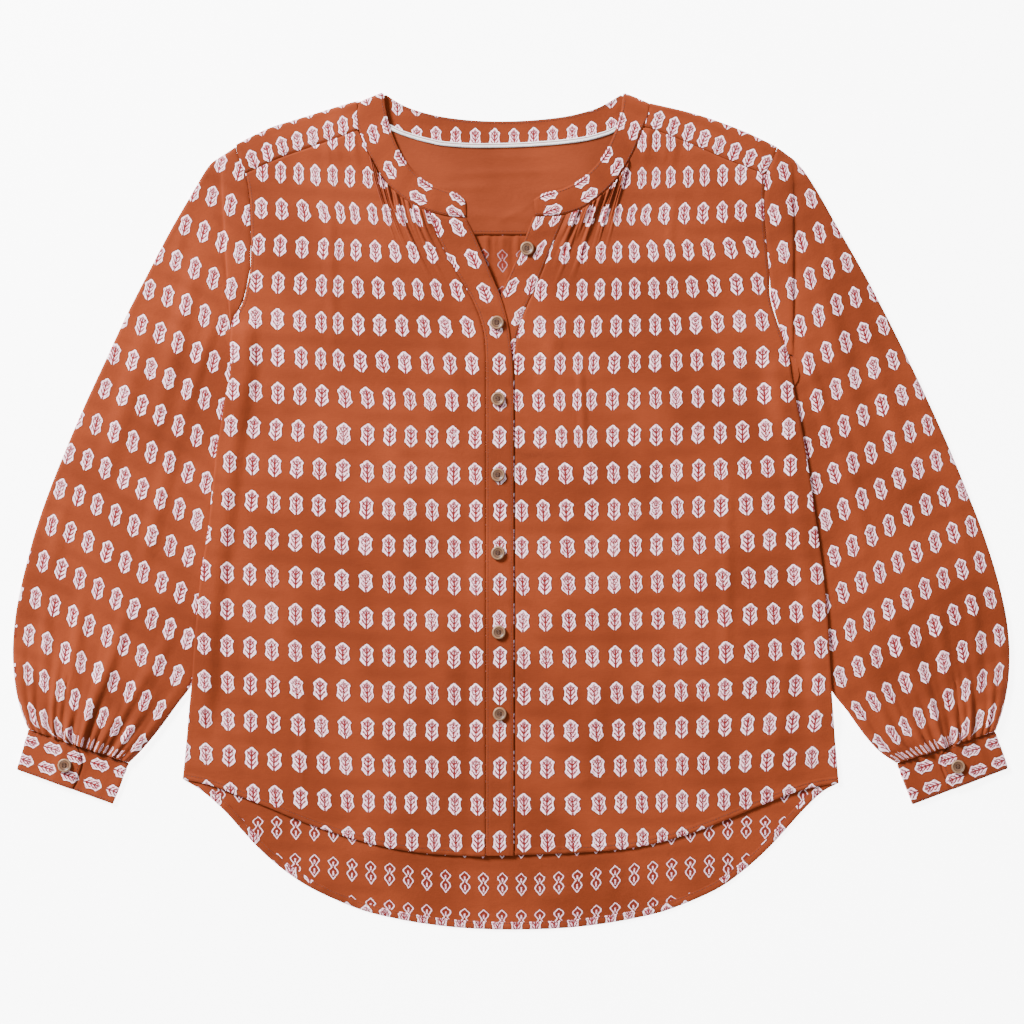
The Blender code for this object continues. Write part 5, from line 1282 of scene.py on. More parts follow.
class Sewing:
    """Lines of stitches laid on the finished cloth."""

    def __init__(self):
        self.points, self.edges = [], []

    def lay_on(self, name, line, lift=0.05):
        """Drops a plan line onto a piece from above; points that miss it are left out."""
        mesh = bpy.data.objects[name].data
        tree = BVHTree.FromPolygons([v.co for v in mesh.vertices],
                                    [p.vertices for p in mesh.polygons])
        number = max(int(length_of(line) / 1.2), 2)
        before = None
        for x, y in at_shares(line, np.linspace(0.0, 1.0, number)):
            start = Vector(((x + PLACE[0]) * MM, (y + PLACE[1]) * MM, 0.1))
            hit = tree.ray_cast(start, Vector((0.0, 0.0, -1.0)))[0]
            if hit is None:
                before = None
                continue
            self.points.append(hit + Vector((0.0, 0.0, lift * MM)))
            if before is not None:
                self.edges.append((before, len(self.points) - 1))
            before = len(self.points) - 1


def stitch_tree():
    """Geometry nodes that put stitches along the edges of a mesh."""
    tree = bpy.data.node_groups.new("Stitches", "GeometryNodeTree")
    face = tree.interface
    face.new_socket("Lines", in_out="INPUT", socket_type="NodeSocketGeometry")
    for label in ("Pitch", "Length", "Thickness"):
        face.new_socket(label, in_out="INPUT", socket_type="NodeSocketFloat")
    face.new_socket("Thread", in_out="INPUT", socket_type="NodeSocketMaterial")
    face.new_socket("Stitches", in_out="OUTPUT", socket_type="NodeSocketGeometry")
    add = tree.nodes.new
    given, result = add("NodeGroupInput"), add("NodeGroupOutput")
    lines = add("GeometryNodeMeshToCurve")
    points = add("GeometryNodeCurveToPoints")
    points.mode = "LENGTH"
    ball = add("GeometryNodeMeshUVSphere")
    ball.inputs["Segments"].default_value = 6
    ball.inputs["Rings"].default_value = 4
    ball.inputs["Radius"].default_value = 0.5
    size = add("ShaderNodeCombineXYZ")
    stitch = add("GeometryNodeTransform")
    place = add("GeometryNodeInstanceOnPoints")
    real = add("GeometryNodeRealizeInstances")
    soften = add("GeometryNodeSetShadeSmooth")
    finish = add("GeometryNodeSetMaterial")
    for first, output, second, socket in (
            (given, "Lines", lines, "Mesh"), (lines, "Curve", points, "Curve"),
            (given, "Pitch", points, "Length"), (given, "Thickness", size, "X"),
            (given, "Thickness", size, "Y"), (given, "Length", size, "Z"),
            (ball, "Mesh", stitch, "Geometry"), (size, "Vector", stitch, "Scale"),
            (points, "Points", place, "Points"), (points, "Rotation", place, "Rotation"),
            (stitch, "Geometry", place, "Instance"), (place, "Instances", real, "Geometry"),
            (real, "Geometry", soften, "Geometry"), (soften, "Geometry", finish, "Geometry"),
            (given, "Thread", finish, "Material"), (finish, "Geometry", result, "Stitches")):
        tree.links.new(first.outputs[output], second.inputs[socket])
    return tree


def sew(name, sewing, sizes, thread):
    """One plain mesh of all the stitches on these lines."""
    mesh = bpy.data.meshes.new(name)
    mesh.from_pydata([tuple(p) for p in sewing.points], sewing.edges, [])
    obj = bpy.data.objects.new(name, mesh)
    bpy.context.scene.collection.objects.link(obj)
    run = obj.modifiers.new("Stitches", "NODES")
    run.node_group = bpy.data.node_groups.get("Stitches") or stitch_tree()
    values = {"Pitch": sizes.stitch_pitch, "Length": sizes.stitch, "Thickness": sizes.thread,
              "Thread": thread}
    for socket in run.node_group.interface.items_tree:
        if socket.item_type == "SOCKET" and socket.name in values and socket.in_out == "INPUT":
            run[socket.identifier] = values[socket.name]
    make_real(obj)
    obj.data.materials.clear()
    obj.data.materials.append(thread)
    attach(obj, "root")
    return obj


def beside(points, distance, up, first=0.0, last=1.0):
    """A smooth line moved sideways, to the side that points along up."""
    line = at_shares(curve(points), np.linspace(first, last, 240))
    return line + normals_of(line, up) * distance


def blouse_seams(sizes):
    """Rust stitches of every visible seam and hem."""
    sewing = Sewing()
    for side in ("right", "left"):
        out = -1.0 if side == "right" else 1.0
        seam, free = placket_lines(side)
        step = (free - seam) / np.linalg.norm(free - seam, axis=1)[:, None]
        keep = slice(2, -3) if side == "right" else slice(2, 84)
        for line in (seam + 1.9 * step, free - 1.9 * step):
            sewing.lay_on("cloth_placket_" + side, line[keep])
        band = "cloth_neck_band"
        sewing.lay_on(band, beside(NECK_SEAM[side][::-1], 1.9, (-out, 0.3), 0.01, 0.94))
        sewing.lay_on(band, beside(NECK_EDGE[side][::-1], 1.9, (out, -0.3), 0.04, 0.94))
        sewing.lay_on("cloth_yoke", beside(SHOULDER_SEAM[side], 2.1, (0.0, 1.0), 0.01, 0.98))
        front = "cloth_front_" + side
        sewing.lay_on(front, beside(ARMHOLE[side][2:], 2.2, (-out, 0.0), 0.01, 0.99))
        hem = [row for row in FRONT_HEM if (row[0] + 10.3) * out > 14.0]
        sewing.lay_on(front, beside(hem, 1000 * sizes.hem - 1.1, (0.0, 1.0), 0.01, 0.99))
        a, b, c, d = (np.array(p) for p in CUFF[side])
        cuff = "cloth_cuff_" + side
        for inset in (1.9 / 38.0, 1 - 1.9 / 38.0):
            start, end = a + (d - a) * inset, b + (c - b) * inset
            line = np.linspace(start + (end - start) * 0.02, end - (end - start) * 0.02, 60)
            sewing.lay_on(cuff, line)
        tip = []
        for v in np.linspace(0.06, 0.94, 30):
            u = (cuff_tip(v) - 2.0) / np.linalg.norm(b - a)
            tip.append((1 - v) * ((1 - u) * a + u * b) + v * ((1 - u) * d + u * c))
        sewing.lay_on(cuff, np.array(tip))
    sewing.lay_on("cloth_neck_band", beside(BACK_BAND_EDGE, 1.9, (0.0, -1.0), 0.03, 0.97))
    sewing.lay_on("cloth_back_hem",
                  beside(BACK_HEM, 1000 * sizes.back_hem - 1.3, (0.0, 1.0), 0.01, 0.99))
    sewing.lay_on("cloth_yoke_lining", [(-60.0, YOKE_SEAM_Y + 2.2), (60.0, YOKE_SEAM_Y + 2.2)])
    return sewing


def tape_seams():
    """White stitches along the neck tape."""
    sewing = Sewing()
    rows = [row for row in BACK_NECK if -128.0 < row[0] < 113.0]
    sewing.lay_on("neck_tape_cotton", beside(rows, -1.3, (0.0, 1.0), 0.01, 0.99))
    return sewing


class Shading:
    """Short ways to add and join the nodes of a material."""

    def __init__(self, tree):
        self.tree = tree

    def node(self, kind, **settings):
        """A new node with these settings."""
        made = self.tree.nodes.new(kind)
        for key, value in settings.items():
            setattr(made, key, value)
        return made

    def feed(self, socket, value):
        """Joins a socket to another one, or gives it a plain value."""
        if isinstance(value, bpy.types.NodeSocket):
            self.tree.links.new(value, socket)
        elif value is not None:
            socket.default_value = value

    def math(self, operation, a, b=None, c=None, clamp=False):
        made = self.node("ShaderNodeMath", operation=operation, use_clamp=clamp)
        for socket, value in zip(made.inputs, (a, b, c)):
            self.feed(socket, value)
        return made.outputs[0]

    def times(self, a, b):
        return self.math("MULTIPLY", a, b)

    def plus(self, a, b, clamp=False):
        return self.math("ADD", a, b, clamp=clamp)

    def minus(self, a, b):
        return self.math("SUBTRACT", a, b)

    def absolute(self, a):
        return self.math("ABSOLUTE", a)

    def ramp(self, value, low, high):
        """0 below low and 1 above high, or the other way round where low is the larger."""
        made = self.node("ShaderNodeMapRange", interpolation_type="SMOOTHSTEP", clamp=True)
        self.feed(made.inputs["Value"], value)
        self.feed(made.inputs["From Min"], low)
        self.feed(made.inputs["From Max"], high)
        return made.outputs[0]

    def mix(self, share, a, b):
        """Colour a where the share is 0, and b where it is 1."""
        made = self.node("ShaderNodeMix", data_type="RGBA")
        self.feed(made.inputs["Factor"], share)
        for socket, value in zip([s for s in made.inputs if s.type == "RGBA"], (a, b)):
            self.feed(socket, (*value, 1.0) if isinstance(value, tuple) else value)
        return next(s for s in made.outputs if s.type == "RGBA")

    def noise(self, place, scale, detail=2.0, rough=0.5):
        """A noise as one value and as a colour."""
        made = self.node("ShaderNodeTexNoise")
        self.feed(made.inputs["Vector"], place)
        made.inputs["Scale"].default_value = scale
        made.inputs["Detail"].default_value = detail
        made.inputs["Roughness"].default_value = rough
        return made.outputs["Fac"], made.outputs["Color"]

    def split(self, vector):
        made = self.node("ShaderNodeSeparateXYZ")
        self.feed(made.inputs[0], vector)
        return made.outputs[0], made.outputs[1], made.outputs[2]

    def join(self, x, y, z=0.0):
        made = self.node("ShaderNodeCombineXYZ")
        for socket, value in zip(made.inputs, (x, y, z)):
            self.feed(socket, value)
        return made.outputs[0]


def leaf_group(outline_only):
    """The leaf print as a group: from the cut's place in metres to the ink and its colours."""
    tree = bpy.data.node_groups.new("Leaf outline" if outline_only else "Leaf", "ShaderNodeTree")
    face = tree.interface
    face.new_socket("Cut", in_out="INPUT", socket_type="NodeSocketVector")
    for label in ("Across", "Along", "Width", "Height"):
        face.new_socket(label, in_out="INPUT", socket_type="NodeSocketFloat")
    for label in ("Ink", "Vein", "Blush", "Halo"):
        face.new_socket(label, in_out="OUTPUT", socket_type="NodeSocketFloat")
    s = Shading(tree)
    given, result = s.node("NodeGroupInput"), s.node("NodeGroupOutput")
    cut = given.outputs["Cut"]
    u, v, _ = s.split(cut)
    across = s.math("DIVIDE", u, given.outputs["Across"])
    along = s.math("DIVIDE", v, given.outputs["Along"])
    column, row = s.math("ROUND", across), s.math("ROUND", along)
    cell = s.join(column, row, 0.37)
    white = s.node("ShaderNodeTexWhiteNoise", noise_dimensions="3D")
    s.feed(white.inputs["Vector"], cell)
    r1, r2, r3 = s.split(white.outputs["Color"])
    x = s.times(s.minus(across, column), given.outputs["Across"])
    y = s.times(s.minus(along, row), given.outputs["Along"])
    x = s.math("DIVIDE", x, given.outputs["Width"])
    y = s.math("DIVIDE", y, given.outputs["Height"])
    wobble = s.noise(cut, 420.0, 2.0)[1]
    wx, wy, _ = s.split(wobble)
    x = s.plus(x, s.times(s.minus(wx, 0.5), 0.11))
    y = s.plus(y, s.times(s.minus(wy, 0.5), 0.075))
    lean = s.times(s.minus(r1, 0.5), 0.16)
    x = s.plus(x, s.times(y, lean))
    x = s.plus(x, s.times(s.minus(r2, 0.5), 0.05))
    y = s.plus(y, s.times(s.minus(r3, 0.5), 0.03))
    aside = s.absolute(x)
    profile = s.node("ShaderNodeFloatCurve")
    shape = profile.mapping.curves[0]
    if outline_only:  # share of the height from the tip up, half width plus a tenth
        table = [(0.0, 0.02), (0.02, 0.13), (0.29, 0.56), (0.35, 0.57), (0.42, 0.50), (0.53, 0.27),
                 (0.60, 0.36), (0.70, 0.55), (0.76, 0.58), (0.80, 0.54), (0.97, 0.12), (1.0, 0.02)]
    else:
        table = [(0.0, 0.0), (0.012, 0.19), (0.24, 0.595), (0.30, 0.605), (0.40, 0.54),
                 (0.62, 0.525), (0.68, 0.58), (0.715, 0.61), (0.76, 0.59), (0.965, 0.20),
                 (1.0, 0.05)]
    while len(shape.points) > 2:
        shape.points.remove(shape.points[0])
    shape.points[0].location, shape.points[1].location = table[0], table[-1]
    for place in table[1:-1]:
        shape.points.new(*place)
    for point in shape.points:
        point.handle_type = "VECTOR"
    profile.mapping.update()
    s.feed(profile.inputs["Value"], s.plus(y, 0.5, clamp=True))
    half = s.minus(profile.outputs[0], 0.1)
    inset = s.minus(half, aside)
    grain = s.noise(cut, 900.0, 1.0)[0]
    patchy = s.noise(cut, 330.0, 2.0, 0.6)[0]
    if outline_only:
        line = s.times(s.ramp(inset, -0.02, 0.01), s.ramp(inset, 0.135, 0.095))
        upper_bar = s.ramp(s.absolute(s.minus(y, 0.17)), 0.10, 0.07)
        lower_bar = s.ramp(s.absolute(s.plus(y, 0.22)), 0.12, 0.09)
        bar = s.times(s.math("MAXIMUM", upper_bar, lower_bar), s.ramp(aside, 0.085, 0.05))
        ink = s.math("MAXIMUM", s.times(line, s.ramp(patchy, 0.26, 0.40)),
                     s.times(bar, s.ramp(grain, 0.36, 0.44)))
        # Painted shade: the outlines fade by up to three quarters from y 120 to 190 mm, towards the
        # yoke, where the neck opening lies in shadow.
        high = s.split(s.node("ShaderNodeTexCoord").outputs["Object"])[1]
        faint = s.ramp(high, 0.001 * (120.0 + PLACE[1]), 0.001 * (190.0 + PLACE[1]))
        ink = s.times(ink, s.minus(1.0, s.times(faint, 0.75)))
        vein = s.times(s.ramp(inset, 0.06, 0.14), s.minus(1.0, bar))
        vein = s.times(vein, 0.34)
        halo = s.times(s.ramp(inset, -0.13, -0.04), 0.5)
    else:
        tip = s.ramp(inset, -0.012, 0.02)
        cleft = s.times(s.ramp(aside, 0.075, 0.035), s.ramp(y, -0.41, -0.45))
        ink = s.times(tip, s.minus(1.0, cleft))
        lean = s.times(aside, s.plus(0.66, s.times(r1, 0.30)))
        pairs = s.math("DIVIDE", s.minus(y, lean), 0.215)
        pairs = s.plus(pairs, s.plus(0.14, s.times(r3, 0.20)))
        gap = s.absolute(s.minus(s.math("FRACT", pairs), 0.5))
        blades = s.times(s.ramp(gap, 0.28, 0.18), s.ramp(inset, 0.07, 0.11))
        blades = s.times(blades, s.ramp(y, 0.34, 0.26))
        stem = s.times(s.ramp(aside, 0.085, 0.050), s.ramp(y, 0.34, 0.28))
        stem = s.times(stem, s.ramp(y, -0.52, -0.48))
        bare = s.plus(0.16, s.times(r2, 0.20))
        broken = s.ramp(grain, bare, s.plus(bare, 0.09))
        fork = s.plus(y, s.times(aside, 0.75))
        fork = s.absolute(s.minus(fork, 0.36))
        fork = s.times(s.ramp(fork, 0.065, 0.035), s.ramp(inset, 0.10, 0.14))
        lines = s.math("MAXIMUM", s.math("MAXIMUM", blades, stem), s.times(fork, 0.85))
        vein = s.times(lines, broken)
        spots = s.times(s.ramp(grain, 0.55, 0.61), s.ramp(inset, 0.12, 0.16))
        start = s.plus(y, s.times(r1, 0.5))
        spots = s.times(spots, s.ramp(start, 0.02, 0.14))
        vein = s.times(s.math("MAXIMUM", vein, s.times(spots, 0.9)), tip)
        halo = s.times(s.ramp(inset, -0.12, -0.02), 0.85)
    halo = s.times(halo, s.ramp(s.absolute(y), 0.56, 0.52))
    blush = s.plus(s.times(s.ramp(inset, 0.09, 0.16), 0.36),
                   s.times(s.ramp(patchy, 0.42, 0.60), 0.55), clamp=True)
    for label, value in (("Ink", ink), ("Vein", vein), ("Blush", blush), ("Halo", halo)):
        s.feed(result.inputs[label], value)
    return tree


def new_material(name):
    """A material, the helper for its nodes, and its shader."""
    material = bpy.data.materials.new(name)
    material.use_nodes = True
    shade = Shading(material.node_tree)
    shader = material.node_tree.nodes["Principled BSDF"]
    return material, shade, shader


def weave_bump(s, shader, uv, where, pitch, depth, crumple):
    """Thread by thread relief, and a soft crumple of unpressed cloth."""
    u, v, _ = s.split(uv)
    weft = s.math("SINE", s.times(u, math.tau / pitch))
    warp = s.math("SINE", s.times(v, math.tau / pitch))
    threads = s.times(weft, warp)
    fine = s.noise(where, 260.0, 3.0, 0.6)[0]
    bump = s.node("ShaderNodeBump")
    bump.inputs["Strength"].default_value = 0.6
    bump.inputs["Distance"].default_value = depth
    s.feed(bump.inputs["Height"], threads)
    soft = s.node("ShaderNodeBump")
    soft.inputs["Strength"].default_value = 0.5
    soft.inputs["Distance"].default_value = crumple
    s.feed(soft.inputs["Height"], fine)
    s.feed(soft.inputs["Normal"], bump.outputs["Normal"])
    s.feed(shader.inputs["Normal"], soft.outputs["Normal"])
    return threads


def cloth_ground(s, where, uv, colour, threads):
    """Dyed cloth: uneven in broad patches and slubs, with painted shade between threads, paler
    where the weave bump is high.
    """
    broad = s.noise(where, 9.0, 3.0)[0]
    slub = s.node("ShaderNodeTexNoise")
    stretch = s.node("ShaderNodeMapping")
    stretch.inputs["Scale"].default_value = (120.0, 1500.0, 1.0)
    s.feed(stretch.inputs["Vector"], uv)
    s.feed(slub.inputs["Vector"], stretch.outputs[0])
    slub.inputs["Scale"].default_value = 1.0
    dark = tuple(0.68 * c for c in colour)
    pale = tuple(min(1.22 * c + 0.003, 1.0) for c in colour)
    share = s.plus(s.times(s.ramp(broad, 0.36, 0.64), 0.50),
                   s.times(slub.outputs["Fac"], 0.35))
    # Painted shade: the weave's bump height lightens its high parts, darkening the cloth between
    # threads.
    share = s.plus(share, s.times(threads, 0.10), clamp=True)
    return s.mix(share, dark, pale)


def printed_cloth(name, colours, across, along, width, height, outline_only=False):
    """Rust cotton with the leaf print. The other side shows pale outlines alone, fading towards the
    yoke as painted shade.
    """
    material, s, shader = new_material(name)
    where = s.node("ShaderNodeTexCoord").outputs["Object"]
    uv = s.node("ShaderNodeUVMap", uv_map="cut").outputs[0]
    group = s.node("ShaderNodeGroup")
    label = "Leaf outline" if outline_only else "Leaf"
    group.node_tree = bpy.data.node_groups.get(label) or leaf_group(outline_only)
    s.feed(group.inputs["Cut"], uv)
    given = (("Across", across), ("Along", along), ("Width", width), ("Height", height))
    for socket, value in given:
        group.inputs[socket].default_value = value
    threads = weave_bump(s, shader, uv, where, 0.0009, 0.00007, 0.0005)
    ground = cloth_ground(s, where, uv, tuple(colours.ground), threads)
    dark = tuple(c * f for c, f in zip(colours.ground, (0.52, 0.30, 0.40)))
    leaf, blush = tuple(colours.leaf), tuple(colours.blush)
    if outline_only:
        leaf = tuple(0.72 * a + 0.28 * b for a, b in zip(colours.leaf, colours.ground))
    between = s.math("FRACT", s.math("DIVIDE", s.split(uv)[1], along))
    between = s.ramp(s.absolute(s.minus(between, 0.5)), 0.22, 0.02)
    between = s.times(between, s.ramp(s.noise(where, 22.0, 2.0)[0], 0.36, 0.62))
    ground = s.mix(s.times(between, 0.24), ground,
                   tuple(0.45 * c for c in colours.ground))
    colour = s.mix(group.outputs["Halo"], ground, dark)
    paint = s.mix(group.outputs["Blush"], leaf, blush)
    colour = s.mix(group.outputs["Ink"], colour, paint)
    colour = s.mix(group.outputs["Vein"], colour, tuple(colours.vein))
    s.feed(shader.inputs["Base Color"], colour)
    shader.inputs["Roughness"].default_value = 0.85
    shader.inputs["Specular IOR Level"].default_value = 0.12
    shader.inputs["Sheen Weight"].default_value = 0.04
    return material


def plain_cloth(name, colour, pitch=0.0009, rough=0.82, sewn_at=None):
    """Undyed or plain dyed cotton. Where sewn_at is given, a dark line of sewing runs there."""
    material, s, shader = new_material(name)
    where = s.node("ShaderNodeTexCoord").outputs["Object"]
    uv = s.node("ShaderNodeUVMap", uv_map="cut").outputs[0]
    threads = weave_bump(s, shader, uv, where, pitch, 0.00007, 0.0005)
    cloth = cloth_ground(s, where, uv, tuple(colour), threads)
    if sewn_at is not None:
        off = s.absolute(s.minus(s.split(uv)[0], sewn_at))
        cloth = s.mix(s.ramp(off, 0.0005, 0.0002), cloth, (0.30, 0.10, 0.09))
    s.feed(shader.inputs["Base Color"], cloth)
    shader.inputs["Roughness"].default_value = rough
    shader.inputs["Specular IOR Level"].default_value = 0.12
    shader.inputs["Sheen Weight"].default_value = 0.04
    return material


def thread_material(name, colour):
    """Plied sewing thread, with painted shade between the plies: darker where its bump is low."""
    material, s, shader = new_material(name)
    where = s.node("ShaderNodeTexCoord").outputs["Object"]
    ply = s.noise(where, 1400.0, 2.0)[0]
    dark, pale = tuple(0.55 * c for c in colour), tuple(min(1.25 * c, 1.0) for c in colour)
    # Painted shade: the ply noise that makes the bump darkens the thread where it is low.
    s.feed(shader.inputs["Base Color"], s.mix(s.ramp(ply, 0.35, 0.65), dark, pale))
    bump = s.node("ShaderNodeBump")
    bump.inputs["Distance"].default_value = 0.0001
    s.feed(bump.inputs["Height"], ply)
    s.feed(shader.inputs["Normal"], bump.outputs["Normal"])
    shader.inputs["Roughness"].default_value = 0.6
    return material


def horn_material(name, sizes):
    """Olive-brown horn: paler turned rim, fine rings, a dark well with streaks."""
    material, s, shader = new_material(name)
    where = s.node("ShaderNodeTexCoord").outputs["Object"]
    u, v, _ = s.split(s.node("ShaderNodeUVMap", uv_map="cut").outputs[0])
    radius = s.math("SQRT", s.plus(s.times(u, u), s.times(v, v)))
    streak = s.noise(where, 700.0, 4.0, 0.65)[0]
    cloud = s.noise(where, 240.0, 3.0)[0]
    edge = s.plus(radius, s.times(s.minus(cloud, 0.5), 0.0012))
    turned = s.times(s.plus(radius, 0.0003), math.pi / 0.0022)
    turned = s.absolute(s.math("SINE", turned))
    darker = tuple(0.62 * c for c in sizes.horn)
    colour = s.mix(s.ramp(streak, 0.32, 0.68), darker, tuple(sizes.horn))
    colour = s.mix(s.ramp(edge, 0.0038, 0.0050), colour, tuple(sizes.rim))
    colour = s.mix(s.times(s.ramp(turned, 0.70, 0.20), 0.8), colour, tuple(sizes.well))
    well = s.times(s.ramp(edge, 0.0030, 0.0018), 0.62)
    colour = s.mix(well, colour, tuple(sizes.well))
    s.feed(shader.inputs["Base Color"], colour)
    bump = s.node("ShaderNodeBump")
    bump.inputs["Strength"].default_value = 0.5
    bump.inputs["Distance"].default_value = 0.00016
    s.feed(bump.inputs["Height"], turned)
    s.feed(shader.inputs["Normal"], bump.outputs["Normal"])
    shader.inputs["Roughness"].default_value = 0.42
    shader.inputs["Coat Weight"].default_value = 0.15
    shader.inputs["Coat Roughness"].default_value = 0.2
    return material


def finishes(scene):
    """The blouse's materials, made once and found by name afterwards."""
    look, button = scene.blouse_print, scene.blouse_button
    makers = {
        "printed cotton": lambda n: printed_cloth(
            n, look, look.across, look.along, look.width, look.height),
        "printed cotton of the yoke": lambda n: printed_cloth(
            n, look, 0.75 * look.across, 0.75 * look.along, 0.88 * look.width, 0.9 * look.height),
        "printed cotton of the back": lambda n: printed_cloth(
            n, look, 0.833 * look.across, look.along, 0.9 * look.width, look.height),
        "printed cotton, inside": lambda n: printed_cloth(
            n, look, 0.833 * look.across, look.along, 0.84 * look.width, 1.06 * look.height, True),
        "printed cotton of the band": lambda n: printed_cloth(
            n, look, 0.71 * look.across, 1.045 * look.along, 0.84 * look.width, 0.86 * look.height),
        "printed cotton inside the band": lambda n: printed_cloth(
            n, look, 0.862 * look.across, 0.79 * look.along, 0.82 * look.width, 0.9 * look.height),
        "printed cotton of the cuffs": lambda n: printed_cloth(
            n, look, 0.865 * look.across, 0.673 * look.along,
            0.86 * look.width, 0.88 * look.height),
        "plain lining": lambda n: plain_cloth(n, look.lining),
        "white cotton tape": lambda n: plain_cloth(n, look.tape, 0.0007, 0.9, 0.0006),
        "rust thread": lambda n: thread_material(n, tuple(0.28 * c for c in look.ground)),
        "white thread": lambda n: thread_material(n, (0.80, 0.76, 0.76)),
        "button thread": lambda n: thread_material(n, (0.10, 0.040, 0.018)),
        "turned horn": lambda n: horn_material(n, button),
    }
    return lambda name: bpy.data.materials.get(name) or makers[name](name)


def cloth_step(context):
    """The cloth's sizes and the finder of its materials, for one step."""
    return context.scene.blouse_cloth, finishes(context.scene)


class BLOUSE_OT_back(bpy.types.Operator):
    """Make the back with its turned hem."""

    bl_idname = "blouse.back"
    bl_label = "Back"

    def execute(self, context):
        sizes, finish = cloth_step(context)
        back, hem = make_back(sizes, finish("printed cotton of the back"),
                              finish("printed cotton, inside"))
        return {"FINISHED"}


class BLOUSE_OT_yoke(bpy.types.Operator):
    """Make the yoke, its plain lining and the seams over the shoulders."""

    bl_idname = "blouse.yoke"
    bl_label = "Yoke"

    def execute(self, context):
        sizes, finish = cloth_step(context)
        yoke = make_yoke(sizes, finish("printed cotton"), finish("printed cotton of the yoke"),
                         finish("printed cotton, inside"))
        lining = make_lining(sizes, finish("plain lining"))
        return {"FINISHED"}


class BLOUSE_OT_fronts(bpy.types.Operator):
    """Make both gathered fronts with their hems."""

    bl_idname = "blouse.fronts"
    bl_label = "Fronts"

    def execute(self, context):
        sizes, finish = cloth_step(context)
        for side in ("right", "left"):
            front = make_front(side, sizes, finish("printed cotton"),
                               finish("printed cotton, inside"))
        return {"FINISHED"}


class BLOUSE_OT_plackets(bpy.types.Operator):
    """Make the two bands down the front opening."""

    bl_idname = "blouse.plackets"
    bl_label = "Plackets"

    def execute(self, context):
        sizes, finish = cloth_step(context)
        for side in ("right", "left"):
            band = make_placket(side, sizes, finish("printed cotton"),
                                finish("printed cotton, inside"))
        return {"FINISHED"}


class BLOUSE_OT_neck(bpy.types.Operator):
    """Make the neck band and the tape inside it."""

    bl_idname = "blouse.neck"
    bl_label = "Neck band and tape"

    def execute(self, context):
        sizes, finish = cloth_step(context)
        band = make_band(sizes, finish("printed cotton of the band"),
                         finish("printed cotton inside the band"))
        tape = make_tape(sizes, finish("white cotton tape"))
        return {"FINISHED"}


class BLOUSE_OT_sleeves(bpy.types.Operator):
    """Make both sleeves, gathered into their cuffs."""

    bl_idname = "blouse.sleeves"
    bl_label = "Sleeves"

    def execute(self, context):
        sizes, finish = cloth_step(context)
        for side in ("right", "left"):
            sleeve = make_sleeve(side, sizes, finish("printed cotton"))
        return {"FINISHED"}


class BLOUSE_OT_cuffs(bpy.types.Operator):
    """Make both lapped cuffs."""

    bl_idname = "blouse.cuffs"
    bl_label = "Cuffs"

    def execute(self, context):
        sizes, finish = cloth_step(context)
        for side in ("right", "left"):
            cuff = make_cuff(side, sizes, finish("printed cotton of the cuffs"))
        return {"FINISHED"}


class BLOUSE_OT_buttons(bpy.types.Operator):
    """Make the nine horn buttons and the thread that holds them."""

    bl_idname = "blouse.buttons"
    bl_label = "Buttons"

    def execute(self, context):
        finish = finishes(context.scene)
        for name, x, y in BUTTONS:
            make_button(name, x, y, context.scene.blouse_button, finish("turned horn"),
                        finish("button thread"))
        return {"FINISHED"}


class BLOUSE_OT_sewing(bpy.types.Operator):
    """Sew every visible seam, hem and edge."""

    bl_idname = "blouse.sewing"
    bl_label = "Stitches"

    def execute(self, context):
        sizes, finish = cloth_step(context)
        sew("seam_stitches", blouse_seams(sizes), sizes, finish("rust thread"))
        sew("tape_stitches", tape_seams(), sizes, finish("white thread"))
        return {"FINISHED"}


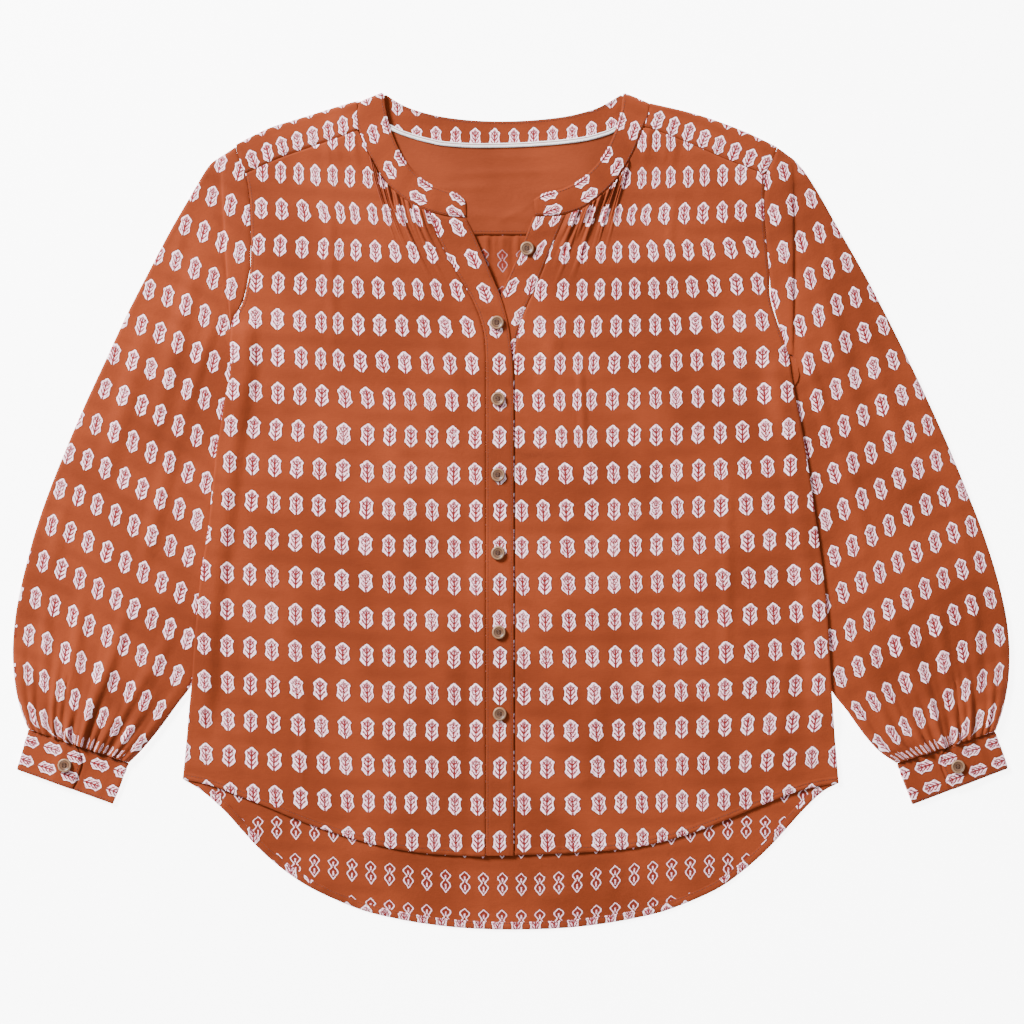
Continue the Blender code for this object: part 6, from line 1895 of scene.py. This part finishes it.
class BLOUSE_OT_stage(bpy.types.Operator):
    """Set the pale floor, the soft lights and the camera straight above."""

    bl_idname = "blouse.stage"
    bl_label = "Floor, lights and camera"

    def execute(self, context):
        scene = context.scene
        graph = bmesh.new()
        bmesh.ops.create_grid(graph, x_segments=2, y_segments=2, size=4.0)
        bmesh.ops.translate(graph, verts=graph.verts, vec=(0.0, 0.0, -0.0006))
        mesh = bpy.data.meshes.new("pale_floor")
        graph.to_mesh(mesh)
        graph.free()
        floor = bpy.data.objects.new("pale_floor", mesh)
        scene.collection.objects.link(floor)
        material, s, shader = new_material("pale floor")
        where = s.node("ShaderNodeTexCoord").outputs["Object"]
        faint = s.noise(where, 3.0)[0]
        s.feed(shader.inputs["Base Color"], s.mix(faint, (0.90, 0.90, 0.90), (0.93, 0.93, 0.93)))
        shader.inputs["Roughness"].default_value = 0.95
        shader.inputs["Emission Color"].default_value = (1.0, 1.0, 1.0, 1.0)
        shader.inputs["Emission Strength"].default_value = 6.5
        mesh.materials.append(material)
        world = bpy.data.worlds.new("soft white studio")
        world.use_nodes = True
        world.node_tree.nodes["Background"].inputs["Color"].default_value = (1.0, 1.0, 1.0, 1.0)
        world.node_tree.nodes["Background"].inputs["Strength"].default_value = WORLD_LIGHT
        scene.world = world
        for name, place, size, power in LIGHTS:
            light = bpy.data.lights.new(name, "AREA")
            light.shape, light.size, light.energy = "DISK", size, power
            lamp = bpy.data.objects.new(name, light)
            lamp.location = place
            lamp.rotation_euler = (-Vector(place)).to_track_quat("-Z", "Y").to_euler()
            scene.collection.objects.link(lamp)
        camera = bpy.data.objects.new("camera_above", bpy.data.cameras.new("camera_above"))
        camera.data.sensor_width, camera.data.lens = 36.0, 90.0
        x, y = (PICTURE_CENTRE[k] + PLACE[k] for k in (0, 1))
        height = PICTURE_WIDTH * camera.data.lens / camera.data.sensor_width
        camera.location = (x * MM, y * MM, height)
        scene.collection.objects.link(camera)
        scene.camera = camera
        return {"FINISHED"}


WORLD_LIGHT = 0.62
LIGHTS = [  # name, place, width, power
    ("key", (-2.4, 2.25, 1.85), 1.2, 600.0),
    ("fill", (1.6, 0.6, 2.2), 2.0, 14.0),
]
GROUPS = {"blouse_cloth": BlouseCloth, "blouse_print": BlousePrint,
          "blouse_button": BlouseButton}
STEPS = (BLOUSE_OT_back, BLOUSE_OT_yoke, BLOUSE_OT_fronts, BLOUSE_OT_plackets, BLOUSE_OT_neck,
         BLOUSE_OT_sleeves, BLOUSE_OT_cuffs, BLOUSE_OT_buttons, BLOUSE_OT_sewing, BLOUSE_OT_stage)


class BLOUSE_PT_panel(bpy.types.Panel):
    """Lists the steps and the sizes of the blouse."""

    bl_idname = "BLOUSE_PT_panel"
    bl_label = "Blouse"
    bl_space_type = "VIEW_3D"
    bl_region_type = "UI"
    bl_category = "Blouse"

    def draw(self, context):
        for step in STEPS:
            self.layout.operator(step.bl_idname)
        for name in GROUPS:
            sizes = getattr(context.scene, name)
            box = self.layout.box()
            for key in sizes.__annotations__:
                box.prop(sizes, key)


CLASSES = tuple(GROUPS.values()) + STEPS + (BLOUSE_PT_panel,)


def register():
    for made in CLASSES:
        bpy.utils.register_class(made)
    for name, group in GROUPS.items():
        setattr(bpy.types.Scene, name, bpy.props.PointerProperty(type=group))


def unregister():
    for name in GROUPS:
        delattr(bpy.types.Scene, name)
    for made in reversed(CLASSES):
        bpy.utils.unregister_class(made)


def main():
    """Registers the classes and runs every step in order."""
    register()
    for step in STEPS:
        group, name = step.bl_idname.split(".")
        getattr(getattr(bpy.ops, group), name)()
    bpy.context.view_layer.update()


if __name__ == "__main__":
    main()
